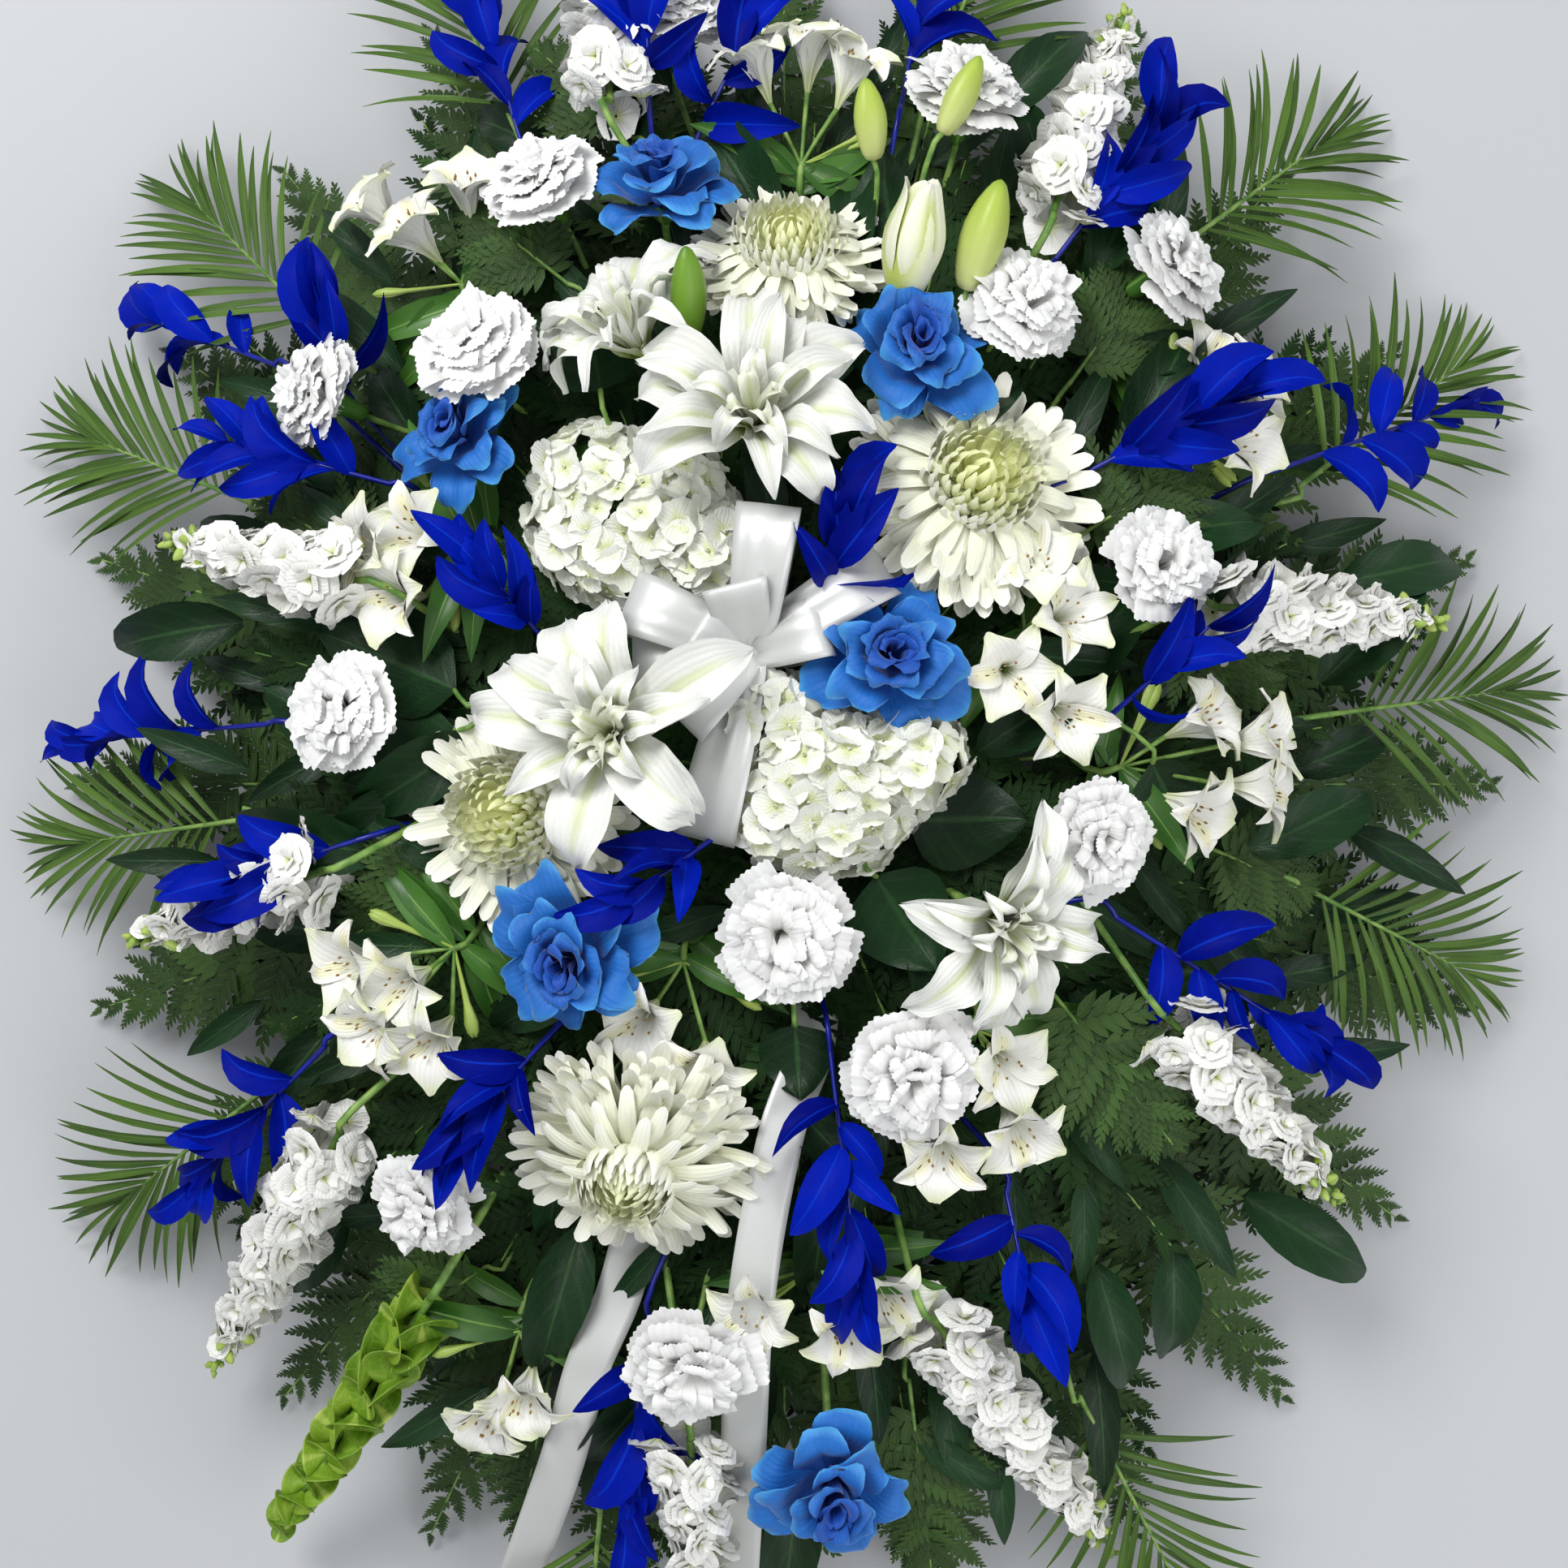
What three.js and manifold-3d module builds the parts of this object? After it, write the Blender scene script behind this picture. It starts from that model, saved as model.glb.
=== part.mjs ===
// A funeral spray of white and blue flowers, laid on the flat back of its holder.
// Millimetres, +Z up out of the flowers' faces, +Y towards the top of the spray.
// The origin is the middle of the holder's flat back.
import * as THREE from "three";
import { mergeVertices } from "three/addons/utils/BufferGeometryUtils.js";
import Module from "manifold-3d";

const wasm = await Module();
wasm.setup();

// Driving dimensions
const TRAY = { width: 206, length: 296, height: 24, wall: 2.5, floor: 3 };
const FOAM = { width: 190, length: 280, base: 3.3, top: 92 };
const CAGE = { bar: 4, thick: 3, along: [-46, 46], across: [-70, 70] };
const GAP = 0.35;
const MERGE = 0.15; // the finest detail that a cut edge keeps
const SAME_POINT = 1e-4;
const TOUCH = 1e-3; // cubic millimetres in common that don't count
const RIBBON = { width: 37, thick: 0.8 };

// The spray is laid out as it shows from straight above, from an eye at EYE_HEIGHT.
// "seen" is a place in that picture, in its pixels; the dome of the spray gives its height.
const EYE_HEIGHT = 1550;
const PICTURE_FOCUS = 2935;
const PICTURE_MIDDLE = 966;
const DOME = { halfWidth: 432, halfLength: 530, rim: 62, rise: 168, fall: 40, lean: 0.75 };
const LOWEST = { spot: 14, leaf: 4 };
const GOLDEN = Math.PI * (3 - Math.sqrt(5));

// Colours of the real pieces
const PAINT = {
  holder: { color: 0x2f5a35, roughness: 0.5, metalness: 0 },
  foam: { color: 0x2e6b3a, roughness: 0.95, metalness: 0 },
  ribbon: { color: 0xf1f1ee, roughness: 0.35, metalness: 0 },
  rose: { color: 0x1f6fd6, roughness: 0.7, metalness: 0 },
  mum: { color: 0xf3f5dc, roughness: 0.7, metalness: 0 },
  lily: { color: 0xf8f8f0, roughness: 0.55, metalness: 0 },
  bud: { color: 0xa9c256, roughness: 0.5, metalness: 0 },
  hydrangea: { color: 0xf5f5e2, roughness: 0.7, metalness: 0 },
  carnation: { color: 0xfafafa, roughness: 0.75, metalness: 0 },
  alstroemeria: { color: 0xf6f6ee, roughness: 0.6, metalness: 0 },
  stock: { color: 0xf4f5ec, roughness: 0.7, metalness: 0 },
  ruscus: { color: 0x0a22b8, roughness: 0.35, metalness: 0 },
  bells: { color: 0x86ab2f, roughness: 0.6, metalness: 0 },
  salal: { color: 0x1c4a24, roughness: 0.45, metalness: 0 },
  fern: { color: 0x2d5c2b, roughness: 0.6, metalness: 0 },
  palm: { color: 0x466b2c, roughness: 0.6, metalness: 0 },
};

// Blooms: where each is seen, its width, its lift off the dome, its tilt, and the node that holds it
const LILIES = [
  { node: "lily_1", seen: [770, 400], width: 120, lift: 12, tilt: [-0.45, 0.75] },
  { node: "lily_2", seen: [928, 500], width: 158, lift: 34, tilt: [0, 0] },
  { node: "lily_3", seen: [745, 900], width: 164, lift: 34, tilt: [0, 0] },
  { node: "lily_4", seen: [1245, 1145], width: 136, lift: 26, tilt: [0.35, 0] },
];
const BUDS = [
  { node: "lily_buds_1", seen: [847, 361], length: 54, width: 20, from: [850, 440], lift: 22 },
  { node: "lily_buds_2", seen: [1127, 295], length: 66, width: 33, from: [1110, 390], lift: 22 },
  { node: "lily_buds_2", seen: [1212, 290], length: 64, width: 26, from: [1180, 390], lift: 18 },
  { node: "lily_buds_2", seen: [1184, 117], length: 48, width: 18, from: [1134, 219], lift: 26 },
  { node: "lily_buds_2", seen: [1071, 147], length: 46, width: 19, from: [1080, 240], lift: 10 },
];
const MUMS = [
  { node: "mum_1", seen: [973, 292], width: 110, lift: -4, tilt: [0, 0.3] },
  { node: "mum_2", seen: [1210, 588], width: 146, lift: -2, tilt: [0.05, 0.05] },
  { node: "mum_3", seen: [622, 1000], width: 134, lift: -14, tilt: [-0.1, 0] },
  { node: "mum_4", seen: [775, 1446], width: 144, lift: 2, tilt: [0, -0.05] },
];
const HYDRANGEAS = [
  { node: "hydrangea_1", seen: [772, 628], size: [138, 118], lift: -10 },
  { node: "hydrangea_2", seen: [1028, 960], size: [142, 122], lift: -4 },
];
const ROSES = [
  { node: "rose_1", seen: [812, 216], width: 80, lift: 4, tilt: [0, 0.5] },
  { node: "rose_2", seen: [1130, 424], width: 84, lift: 10, tilt: [0, 0] },
  { node: "rose_3", seen: [556, 526], width: 72, lift: 4, tilt: [0, 0] },
  { node: "rose_4", seen: [1098, 806], width: 86, lift: 12, tilt: [0, 0] },
  { node: "rose_5", seen: [698, 1184], width: 90, lift: 14, tilt: [0, 0] },
  { node: "rose_6", seen: [1028, 1842], width: 90, lift: 18, tilt: [0, 0.2] },
];
const CARNATIONS = [
  { node: "carnations_1", seen: [662, 220], width: 66, lift: 4, tilt: [-0.25, 0.3] },
  { node: "carnations_1", seen: [581, 423], width: 68, lift: 6, tilt: [0, 0.15] },
  { node: "carnations_1", seen: [384, 483], width: 62, lift: 2, tilt: [-0.7, 0.1] },
  { node: "carnations_2", seen: [415, 876], width: 66, lift: 4, tilt: [0, 0] },
  { node: "carnations_2", seen: [521, 1487], width: 62, lift: 8, tilt: [-0.1, -0.1] },
  { node: "carnations_3", seen: [1191, 105], width: 68, lift: 6, tilt: [0, 0.4] },
  { node: "carnations_3", seen: [824, 14], width: 68, lift: 0, tilt: [0, 0.4] },
  { node: "carnations_4", seen: [1263, 370], width: 64, lift: 2, tilt: [0.1, 0] },
  { node: "carnations_4", seen: [1452, 325], width: 64, lift: 4, tilt: [0.7, 0.1] },
  { node: "carnations_5", seen: [1435, 694], width: 60, lift: 8, tilt: [0, 0] },
  { node: "carnations_5", seen: [1356, 1035], width: 62, lift: 4, tilt: [0.1, -0.1] },
  { node: "carnations_6", seen: [966, 1158], width: 76, lift: 2, tilt: [0, 0] },
  { node: "carnations_6", seen: [1127, 1326], width: 76, lift: 6, tilt: [0, 0] },
  { node: "carnations_6", seen: [850, 1688], width: 76, lift: 12, tilt: [0, 0] },
];

// Sprays: where the stalks part, and where the trumpets and buds are seen
const ALSTROEMERIAS = [
  { node: "alstroemeria_1", from: [987, 204], heads: [[925, 45], [1000, 28], [1062, 55]], turn: 20 },
  { node: "alstroemeria_2", from: [569, 350], heads: [[440, 234], [492, 262], [571, 205]], turn: 0 },
  { node: "alstroemeria_3", from: [575, 668], heads: [[492, 648], [430, 668], [468, 738]], turn: 40 },
  { node: "alstroemeria_3", from: [560, 1168],
    heads: [[411, 1196], [479, 1221], [441, 1280], [521, 1300]], turn: 10 },
  { node: "alstroemeria_4", from: [1262, 775],
    heads: [[1283, 684], [1329, 751], [1249, 831], [1325, 886]], turn: 30 },
  { node: "alstroemeria_5", from: [1440, 520], heads: [[1502, 433], [1557, 463], [1552, 542]], turn: 0 },
  { node: "alstroemeria_5", from: [1380, 945],
    heads: [[1506, 876], [1585, 905], [1494, 1008], [1585, 975]], turn: 15 },
  { node: "alstroemeria_6", from: [842, 1185], heads: [[783, 1272], [868, 1336]], turn: 25 },
  { node: "alstroemeria_6", from: [640, 1640], heads: [[590, 1773], [640, 1745]], turn: 0 },
  { node: "alstroemeria_7", from: [1205, 1270],
    heads: [[1249, 1322], [1266, 1412], [1161, 1440]], turn: 50 },
  { node: "alstroemeria_7", from: [1010, 1560], heads: [[922, 1631], [1045, 1658], [1105, 1615]], turn: 30 },
];
const STOCKS = [
  { node: "stock_1", from: [440, 716], tip: [205, 668] },
  { node: "stock_1", from: [400, 1072], tip: [158, 1160] },
  { node: "stock_2", from: [420, 1395], tip: [262, 1690] },
  { node: "stock_2", from: [850, 1770], tip: [872, 2010] },
  { node: "stock_3", from: [1500, 748], tip: [1780, 766] },
  { node: "stock_3", from: [1440, 1255], tip: [1650, 1480] },
  { node: "stock_4", from: [1297, 262], tip: [1388, 10] },
  { node: "stock_4", from: [752, 125], tip: [735, -90] },
  { node: "stock_5", from: [1150, 1625], tip: [1375, 1915] },
];

// Painted ruscus: where each sprig shows, from and to, how many leaves, and how long they are
const RUSCUS = [
  { node: "ruscus_1", from: [650, 200], tip: [596, 22], leaves: 5, leaf: 36, lift: -4 },
  { node: "ruscus_1", from: [800, 110], tip: [796, -20], leaves: 6, leaf: 40, lift: 8 },
  { node: "ruscus_1", from: [850, 190], tip: [930, 30], leaves: 4, leaf: 40, lift: -10 },
  { node: "ruscus_2", from: [1110, 130], tip: [1150, -60], leaves: 6, leaf: 42, lift: -6 },
  { node: "ruscus_2", from: [1300, 320], tip: [1432, 150], leaves: 6, leaf: 42, lift: 14 },
  { node: "ruscus_3", from: [1320, 592], tip: [1530, 484], leaves: 6, leaf: 40, lift: 10 },
  { node: "ruscus_3", from: [1570, 580], tip: [1800, 500], leaves: 6, leaf: 38, lift: 0 },
  { node: "ruscus_4", from: [1370, 880], tip: [1490, 772], leaves: 5, leaf: 40, lift: 8 },
  { node: "ruscus_4", from: [1004, 752], tip: [1056, 640], leaves: 4, leaf: 38, lift: 18 },
  { node: "ruscus_5", from: [672, 790], tip: [590, 690], leaves: 6, leaf: 36, lift: 2 },
  { node: "ruscus_5", from: [480, 596], tip: [280, 545], leaves: 6, leaf: 36, lift: 4 },
  { node: "ruscus_5", from: [430, 470], tip: [404, 388], leaves: 4, leaf: 38, lift: 0 },
  { node: "ruscus_5", from: [340, 450], tip: [200, 400], leaves: 4, leaf: 36, lift: -6 },
  { node: "ruscus_6", from: [330, 892], tip: [100, 914], leaves: 7, leaf: 36, lift: 0 },
  { node: "ruscus_6", from: [440, 1035], tip: [285, 1085], leaves: 7, leaf: 38, lift: 6 },
  { node: "ruscus_7", from: [870, 1040], tip: [735, 1140], leaves: 5, leaf: 42, lift: 14 },
  { node: "ruscus_7", from: [668, 1285], tip: [570, 1395], leaves: 6, leaf: 38, lift: 14 },
  { node: "ruscus_7", from: [400, 1290], tip: [240, 1455], leaves: 5, leaf: 38, lift: 0 },
  { node: "ruscus_8", from: [1023, 1295], tip: [1058, 1590], leaves: 7, leaf: 38, lift: 10 },
  { node: "ruscus_8", from: [1375, 1130], tip: [1620, 1285], leaves: 7, leaf: 38, lift: 6 },
  { node: "ruscus_8", from: [1240, 1470], tip: [1270, 1620], leaves: 4, leaf: 36, lift: 4 },
  { node: "ruscus_8", from: [800, 1620], tip: [765, 1900], leaves: 5, leaf: 40, lift: -4 },
];

// Greens: broad leaves, fern fronds and palm fronds, each seen from its foot to its tip
const SALAL = [
  { node: "broad_leaves_1", from: [740, 480], tip: [722, 400], width: 44, lift: -16 },
  { node: "broad_leaves_1", from: [560, 850], tip: [400, 780], width: 58, lift: -30 },
  { node: "broad_leaves_1", from: [560, 900], tip: [430, 960], width: 60, lift: -34 },
  { node: "broad_leaves_1", from: [420, 920], tip: [330, 850], width: 48, lift: -50 },
  { node: "broad_leaves_2", from: [925, 190], tip: [915, 120], width: 40, lift: -48 },
  { node: "broad_leaves_2", from: [1100, 300], tip: [1090, 190], width: 44, lift: -22 },
  { node: "broad_leaves_2", from: [1120, 1010], tip: [1260, 1010], width: 60, lift: -26 },
  { node: "broad_leaves_2", from: [1080, 1080], tip: [1150, 1190], width: 62, lift: -24 },
  { node: "broad_leaves_2", from: [980, 1264], tip: [985, 1350], width: 44, lift: -18 },
  { node: "broad_leaves_2", from: [1420, 940], tip: [1480, 1040], width: 46, lift: -22 },
];
const FERNS = [
  { node: "ferns_1", from: [700, 350], tip: [575, 255], width: 56, lift: -22 },
  { node: "ferns_1", from: [780, 170], tip: [660, 60], width: 56, lift: -30 },
  { node: "ferns_1", from: [470, 700], tip: [330, 620], width: 56, lift: -34 },
  { node: "ferns_2", from: [1320, 470], tip: [1420, 330], width: 54, lift: -30 },
  { node: "ferns_2", from: [1330, 660], tip: [1480, 570], width: 62, lift: -16 },
  { node: "ferns_2", from: [1450, 770], tip: [1560, 850], width: 58, lift: -36 },
  { node: "ferns_3", from: [1290, 1215], tip: [1445, 1410], width: 74, lift: -14 },
  { node: "ferns_3", from: [1480, 1040], tip: [1610, 1100], width: 58, lift: -40 },
  { node: "ferns_3", from: [1120, 1700], tip: [1150, 1960], width: 66, lift: -30 },
  { node: "ferns_4", from: [560, 1080], tip: [440, 1150], width: 58, lift: -40 },
  { node: "ferns_4", from: [600, 1560], tip: [470, 1640], width: 58, lift: -40 },
  { node: "ferns_4", from: [680, 1680], tip: [640, 1900], width: 60, lift: -40 },
];
// Rings of fronds that fill the spray under its flowers: where they start and end, as shares of the
// way to the rim, how far under the dome they lie, and how wide they are
const FILL = [
  { count: 12, from: 0.52, to: 1.02, lift: -45, width: 130, turn: 0.5 },
  { count: 8, from: 0.5, to: 0.94, lift: -85, width: 130, turn: 0.25 },
];
const FERN_QUARTERS = ["ferns_2", "ferns_1", "ferns_4", "ferns_3"];
const PALMS = [
  { node: "palms_1", from: [640, 170], tip: [530, -70], lift: -14 },
  { node: "palms_1", from: [410, 420], tip: [240, 250], lift: -14 },
  { node: "palms_1", from: [310, 620], tip: [110, 540], lift: -14 },
  { node: "palms_2", from: [1150, 100], tip: [1230, -100], lift: -14 },
  { node: "palms_2", from: [1460, 300], tip: [1640, 170], lift: -14 },
  { node: "palms_2", from: [1600, 600], tip: [1800, 450], lift: -14 },
  { node: "palms_3", from: [1640, 880], tip: [1860, 850], lift: -14 },
  { node: "palms_3", from: [1600, 1090], tip: [1810, 1200], lift: -14 },
  { node: "palms_3", from: [1330, 1720], tip: [1470, 1990], lift: -14 },
  { node: "palms_4", from: [740, 1860], tip: [720, 2090], lift: -14 },
  { node: "palms_4", from: [330, 1340], tip: [150, 1480], lift: -14 },
  { node: "palms_4", from: [300, 1010], tip: [90, 1040], lift: -14 },
];
const BELLS = { node: "bells_of_ireland", from: [530, 1600], tip: [345, 1880], bells: 8 };

const vector = (x, y, z) => new THREE.Vector3(x, y, z);
const UP = vector(0, 0, 1);

// Where things go

function domeHeight(x, y) {
  const reach = (x / DOME.halfWidth) ** 2 + (y / DOME.halfLength) ** 2;
  return DOME.rim + DOME.rise * Math.sqrt(Math.max(0, 1 - reach)) - DOME.fall * Math.max(0, reach - 1);
}

function atHeight(seen, z) {
  const scale = (EYE_HEIGHT - z) / PICTURE_FOCUS;
  return vector((seen[0] - PICTURE_MIDDLE) * scale, (PICTURE_MIDDLE - seen[1]) * scale, z);
}

function onDome(seen, lift = 0) {
  let spot = atHeight(seen, DOME.rim + DOME.rise);
  for (let round = 0; round < 10; round += 1) {
    const z = Math.max(LOWEST.spot, domeHeight(spot.x, spot.y) + lift);
    spot = atHeight(seen, (z + spot.z) / 2);
  }
  return spot;
}

function facing(spot, tilt = [0, 0]) {
  const lean = vector(spot.x / DOME.halfWidth, spot.y / DOME.halfLength, 0).multiplyScalar(DOME.lean);
  return lean.add(vector(tilt[0], tilt[1], 1)).normalize();
}

function frameAt(origin, axis, turn = 0) {
  const turned = new THREE.Quaternion().setFromUnitVectors(UP, axis);
  const spun = new THREE.Quaternion().setFromAxisAngle(UP, THREE.MathUtils.degToRad(turn));
  return new THREE.Matrix4().compose(origin, turned.multiply(spun), vector(1, 1, 1));
}

// Closed solids

function solidOf(geometry) {
  const bare = geometry.clone();
  bare.deleteAttribute("normal");
  bare.deleteAttribute("uv");
  const merged = mergeVertices(bare, SAME_POINT);
  const index = merged.index.array;
  const triangles = [];
  for (let i = 0; i < index.length; i += 3) {
    const [a, b, c] = [index[i], index[i + 1], index[i + 2]];
    if (a !== b && b !== c && c !== a) triangles.push(a, b, c);
  }
  return solidFrom(merged.attributes.position.array, triangles);
}

function solidFrom(positions, triangles) {
  const vertProperties = new Float32Array(positions);
  let triVerts = new Uint32Array(triangles);
  if (signedVolume(vertProperties, triVerts) < 0) {
    triVerts = triVerts.map((_, i) => triVerts[i - (i % 3) + [0, 2, 1][i % 3]]);
  }
  return new wasm.Manifold(new wasm.Mesh({ numProp: 3, vertProperties, triVerts }));
}

function signedVolume(p, t) {
  let sum = 0;
  for (let i = 0; i < t.length; i += 3) {
    const [a, b, c] = [t[i] * 3, t[i + 1] * 3, t[i + 2] * 3];
    sum += p[a] * (p[b + 1] * p[c + 2] - p[b + 2] * p[c + 1]);
    sum += p[a + 1] * (p[b + 2] * p[c] - p[b] * p[c + 2]);
    sum += p[a + 2] * (p[b] * p[c + 1] - p[b + 1] * p[c]);
  }
  return sum / 6;
}

function box(width, length, height, x, y, z) {
  return solidOf(new THREE.BoxGeometry(width, length, height).translate(x, y, z + height / 2));
}

function turned(profile, sides, frame) {
  const points = profile.map(([r, z]) => new THREE.Vector2(r, z));
  const lathe = new THREE.LatheGeometry(points, sides).rotateX(Math.PI / 2);
  return solidOf(lathe.applyMatrix4(frame));
}

function addPoint(positions, point) {
  positions.push(point.x, point.y, point.z);
  return positions.length / 3 - 1;
}

// One closed skin round an axis, from its foot up: each ring is a list of points spread evenly
// round it, and the strip between two rings follows their angles, whatever their counts
function skin(foot, rings, top, frame) {
  const positions = [];
  const place = (point) => addPoint(positions, point.clone().applyMatrix4(frame));
  const [low, high] = [place(vector(0, 0, foot)), place(vector(0, 0, top))];
  const ids = rings.map((ring) => ring.points.map(place));
  const triangles = [];
  const first = ids[0];
  const last = ids[ids.length - 1];
  first.forEach((id, j) => triangles.push(low, first[(j + 1) % first.length], id));
  last.forEach((id, j) => triangles.push(high, id, last[(j + 1) % last.length]));
  for (let k = 0; k + 1 < rings.length; k += 1) {
    stitch(triangles, ids[k], rings[k].turn, ids[k + 1], rings[k + 1].turn);
  }
  return solidFrom(positions, triangles);
}

function stitch(triangles, a, turnA, b, turnB) {
  const [stepA, stepB] = [(2 * Math.PI) / a.length, (2 * Math.PI) / b.length];
  const skip = Math.round((turnA - turnB) / stepB);
  const angleB = (j) => turnB + (j + skip) * stepB - turnA;
  const idB = (j) => b[(((j + skip) % b.length) + b.length) % b.length];
  let [i, j] = [0, 0];
  while (i < a.length || j < b.length) {
    if (j < b.length && (i === a.length || angleB(j) < (i + 0.5) * stepA - 1e-6)) {
      triangles.push(a[i % a.length], idB(j + 1), idB(j));
      j += 1;
    } else {
      triangles.push(a[i % a.length], a[(i + 1) % a.length], idB(j));
      i += 1;
    }
  }
}

// A ring that repeats a short pattern of [radius, height] points
function ringOf(repeats, pattern, turn = 0) {
  const count = repeats * pattern.length;
  const points = Array.from({ length: count }, (_, j) => {
    const angle = turn + (j * 2 * Math.PI) / count;
    const [r, z] = pattern[j % pattern.length];
    return vector(r * Math.cos(angle), r * Math.sin(angle), z);
  });
  return { points, turn };
}

// A rib of three sides along a path, in one skin with the leaves on it. A leaf takes the place
// of a stretch of the rib's side, with its outline given in shares: along the leaf and across it
function sprig(path, radius, leaves, grow = 0) {
  const frames = ribFrames(path);
  const positions = [];
  const ids = path.map((point, i) => [0, 1, 2].map((k) => {
    const angle = Math.PI / 2 + (k * 2 * Math.PI) / 3;
    const reach = (i === path.length - 1 ? 0.5 : 1) * radius + grow;
    return addPoint(positions, point.clone()
      .addScaledVector(frames[i].side, reach * Math.cos(angle))
      .addScaledVector(frames[i].up, reach * Math.sin(angle)));
  }));
  const triangles = [ids[0][0], ids[0][1], ids[0][2]];
  const end = ids[ids.length - 1];
  triangles.push(end[0], end[2], end[1]);
  for (let i = 0; i + 1 < ids.length; i += 1) {
    const [now, next] = [ids[i], ids[i + 1]];
    triangles.push(now[1], next[1], next[2], now[1], next[2], now[2]);
    for (const hand of [-1, 1]) {
      const low = hand < 0 ? 1 : 2;
      const grown = leaves.find((item) => item.at === i && item.hand === hand);
      const rim = grown ? leafRim(grown, path, i, radius, grow).map((p) => addPoint(positions, p)) : [];
      ribFace(triangles, [now[0], next[0], next[low], now[low]], rim, hand);
    }
  }
  return solidFrom(positions, triangles);
}

function ribFrames(path) {
  const tangents = path.map((_, i) => path[Math.min(i + 1, path.length - 1)].clone()
    .sub(path[Math.max(i - 1, 0)]).normalize());
  const frames = [];
  for (let i = path.length - 1; i >= 0; i -= 1) {
    const after = frames[0];
    const up = after
      ? after.up.clone().applyQuaternion(turnBetween(after.tangent, tangents[i]))
      : squareTo(tangents[i]);
    frames.unshift({ tangent: tangents[i], up, side: tangents[i].clone().cross(up).normalize() });
  }
  return frames;
}

function squareTo(tangent) {
  const other = Math.abs(tangent.z) > 0.95 ? vector(1, 0, 0) : UP.clone();
  return other.addScaledVector(tangent, -other.dot(tangent)).normalize();
}

function turnBetween(from, to) {
  return new THREE.Quaternion().setFromUnitVectors(from, to);
}

function ribFace(triangles, [top, topNext, lowNext, low], rim, hand) {
  const add = (a, b, c) => triangles.push(...(hand > 0 ? [a, c, b] : [a, b, c]));
  if (!rim.length) {
    add(top, topNext, lowNext);
    add(top, lowNext, low);
    return;
  }
  for (let k = 0; k + 1 < rim.length; k += 1) {
    add(top, rim[k + 1], rim[k]);
    add(low, rim[k], rim[k + 1]);
  }
  const [start, finishing] = [rim[0], rim[rim.length - 1]];
  add(top, topNext, finishing);
  add(low, finishing, lowNext);
  add(top, start, low);
  add(topNext, lowNext, finishing);
}

function leafRim({ dir, length, width, shape, up }, path, i, radius, grow) {
  const [from, to] = [path[i], path[i + 1]];
  const across = up.clone().cross(dir).normalize();
  const forward = Math.sign(across.dot(to.clone().sub(from))) || 1;
  return shape.map(([along, aside, rise, foot]) => from.clone().lerp(to, foot)
    .addScaledVector(dir, along * length + (along > 0.9 ? 2 : 1) * grow)
    .addScaledVector(across, forward * (aside * width * 0.5 + Math.sign(aside) * grow))
    .addScaledVector(up, rise * length));
}

// Leaf outlines from back to front: [along, across, rise, where on the stretch it starts]
const RUSCUS_LEAF = [[0.4, -0.95, 0.03, 0.3], [1, 0, 0.04, 0.4], [0.36, 1, 0.03, 0.5]];
const FERN_LEAF = [[0.5, -0.75, -0.04, 0.2], [1, 0.3, -0.12, 0.5]];
const FILL_LEAF = [[1, 0, -0.12, 0.5]];
const PALM_LEAF = [[1, 0, 0, 0.5]];

// Half of a broad leaf, from its midrib out: along is across the leaf here
const BROAD_HALF = [
  [0.5, -0.9, 0.08, 0.5], [1, -0.4, 0.12, 0.5], [0.88, 0.25, 0.1, 0.5], [0.36, 0.78, 0.04, 0.5],
];

// Keeping clear of what is already placed

const placed = [];

function boxesMeet(a, b) {
  return [0, 1, 2].every((k) => a.min[k] < b.max[k] && b.min[k] < a.max[k]);
}

function near(solid, counts = () => true) {
  const bounds = solid.boundingBox();
  return placed.filter((other) => boxesMeet(bounds, other.bounds) && counts(other));
}

function overlapOf(solid, counts) {
  return near(solid, counts).reduce((sum, other) => sum + solid.intersect(other.solid).volume(), 0);
}

// The foam has holes for what stands in it, so it is kept off but never cuts anything
function cutClear(solid) {
  const others = near(solid, (other) => other !== foamGuard);
  return others.reduce((rest, other) => rest.subtract(other.solid), solid);
}

function keepOff(solids) {
  solids.forEach((solid) => placed.push({ solid, bounds: solid.boundingBox() }));
}

let foamGuard = null;

// The first variant that meets nothing, or else the one that meets least. "own" are guards of the
// same node, which a leaf keeps off as well
function clearest(make, variants, counts = () => true, own = []) {
  let best = null;
  for (const variant of variants) {
    const solid = make(variant);
    const overlap = own.reduce((sum, guard) => sum + solid.intersect(guard).volume(), overlapOf(solid, counts));
    if (!best || overlap < best.overlap) best = { variant, solid, overlap };
    if (overlap < TOUCH) break;
  }
  return best;
}

function largestBody(solid) {
  const bodies = solid.decompose();
  return bodies.reduce((a, b) => (b.volume() > a.volume() ? b : a));
}

const nodes = new Map();

function gather(node, paint, solids, guards) {
  if (!nodes.has(node)) nodes.set(node, { paint, solids: [], guards: [] });
  nodes.get(node).solids.push(...solids);
  nodes.get(node).guards.push(...guards);
}

const finished = [];

// Joins what a node has gathered, cuts it clear of what is placed, and keeps its one body
function finish(node) {
  const { paint, solids, guards } = nodes.get(node);
  const rest = largestBody(cutClear(wasm.Manifold.union(solids)).simplify(MERGE));
  keepOff(guards);
  finished.push({ node, paint, solid: rest });
}

// Roots and stems

const ROOT = {
  radius: 2.8,
  deep: 34, // how far it goes into the foam
  out: 16, // how far it stands out before its stems part
  inset: 12,
  gather: 0.62, // roots on top stand closer together than the flowers do
  lowest: 33,
  highest: 80,
  spread: 2.6,
  tries: 150,
};
const roots = new Map();

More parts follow.
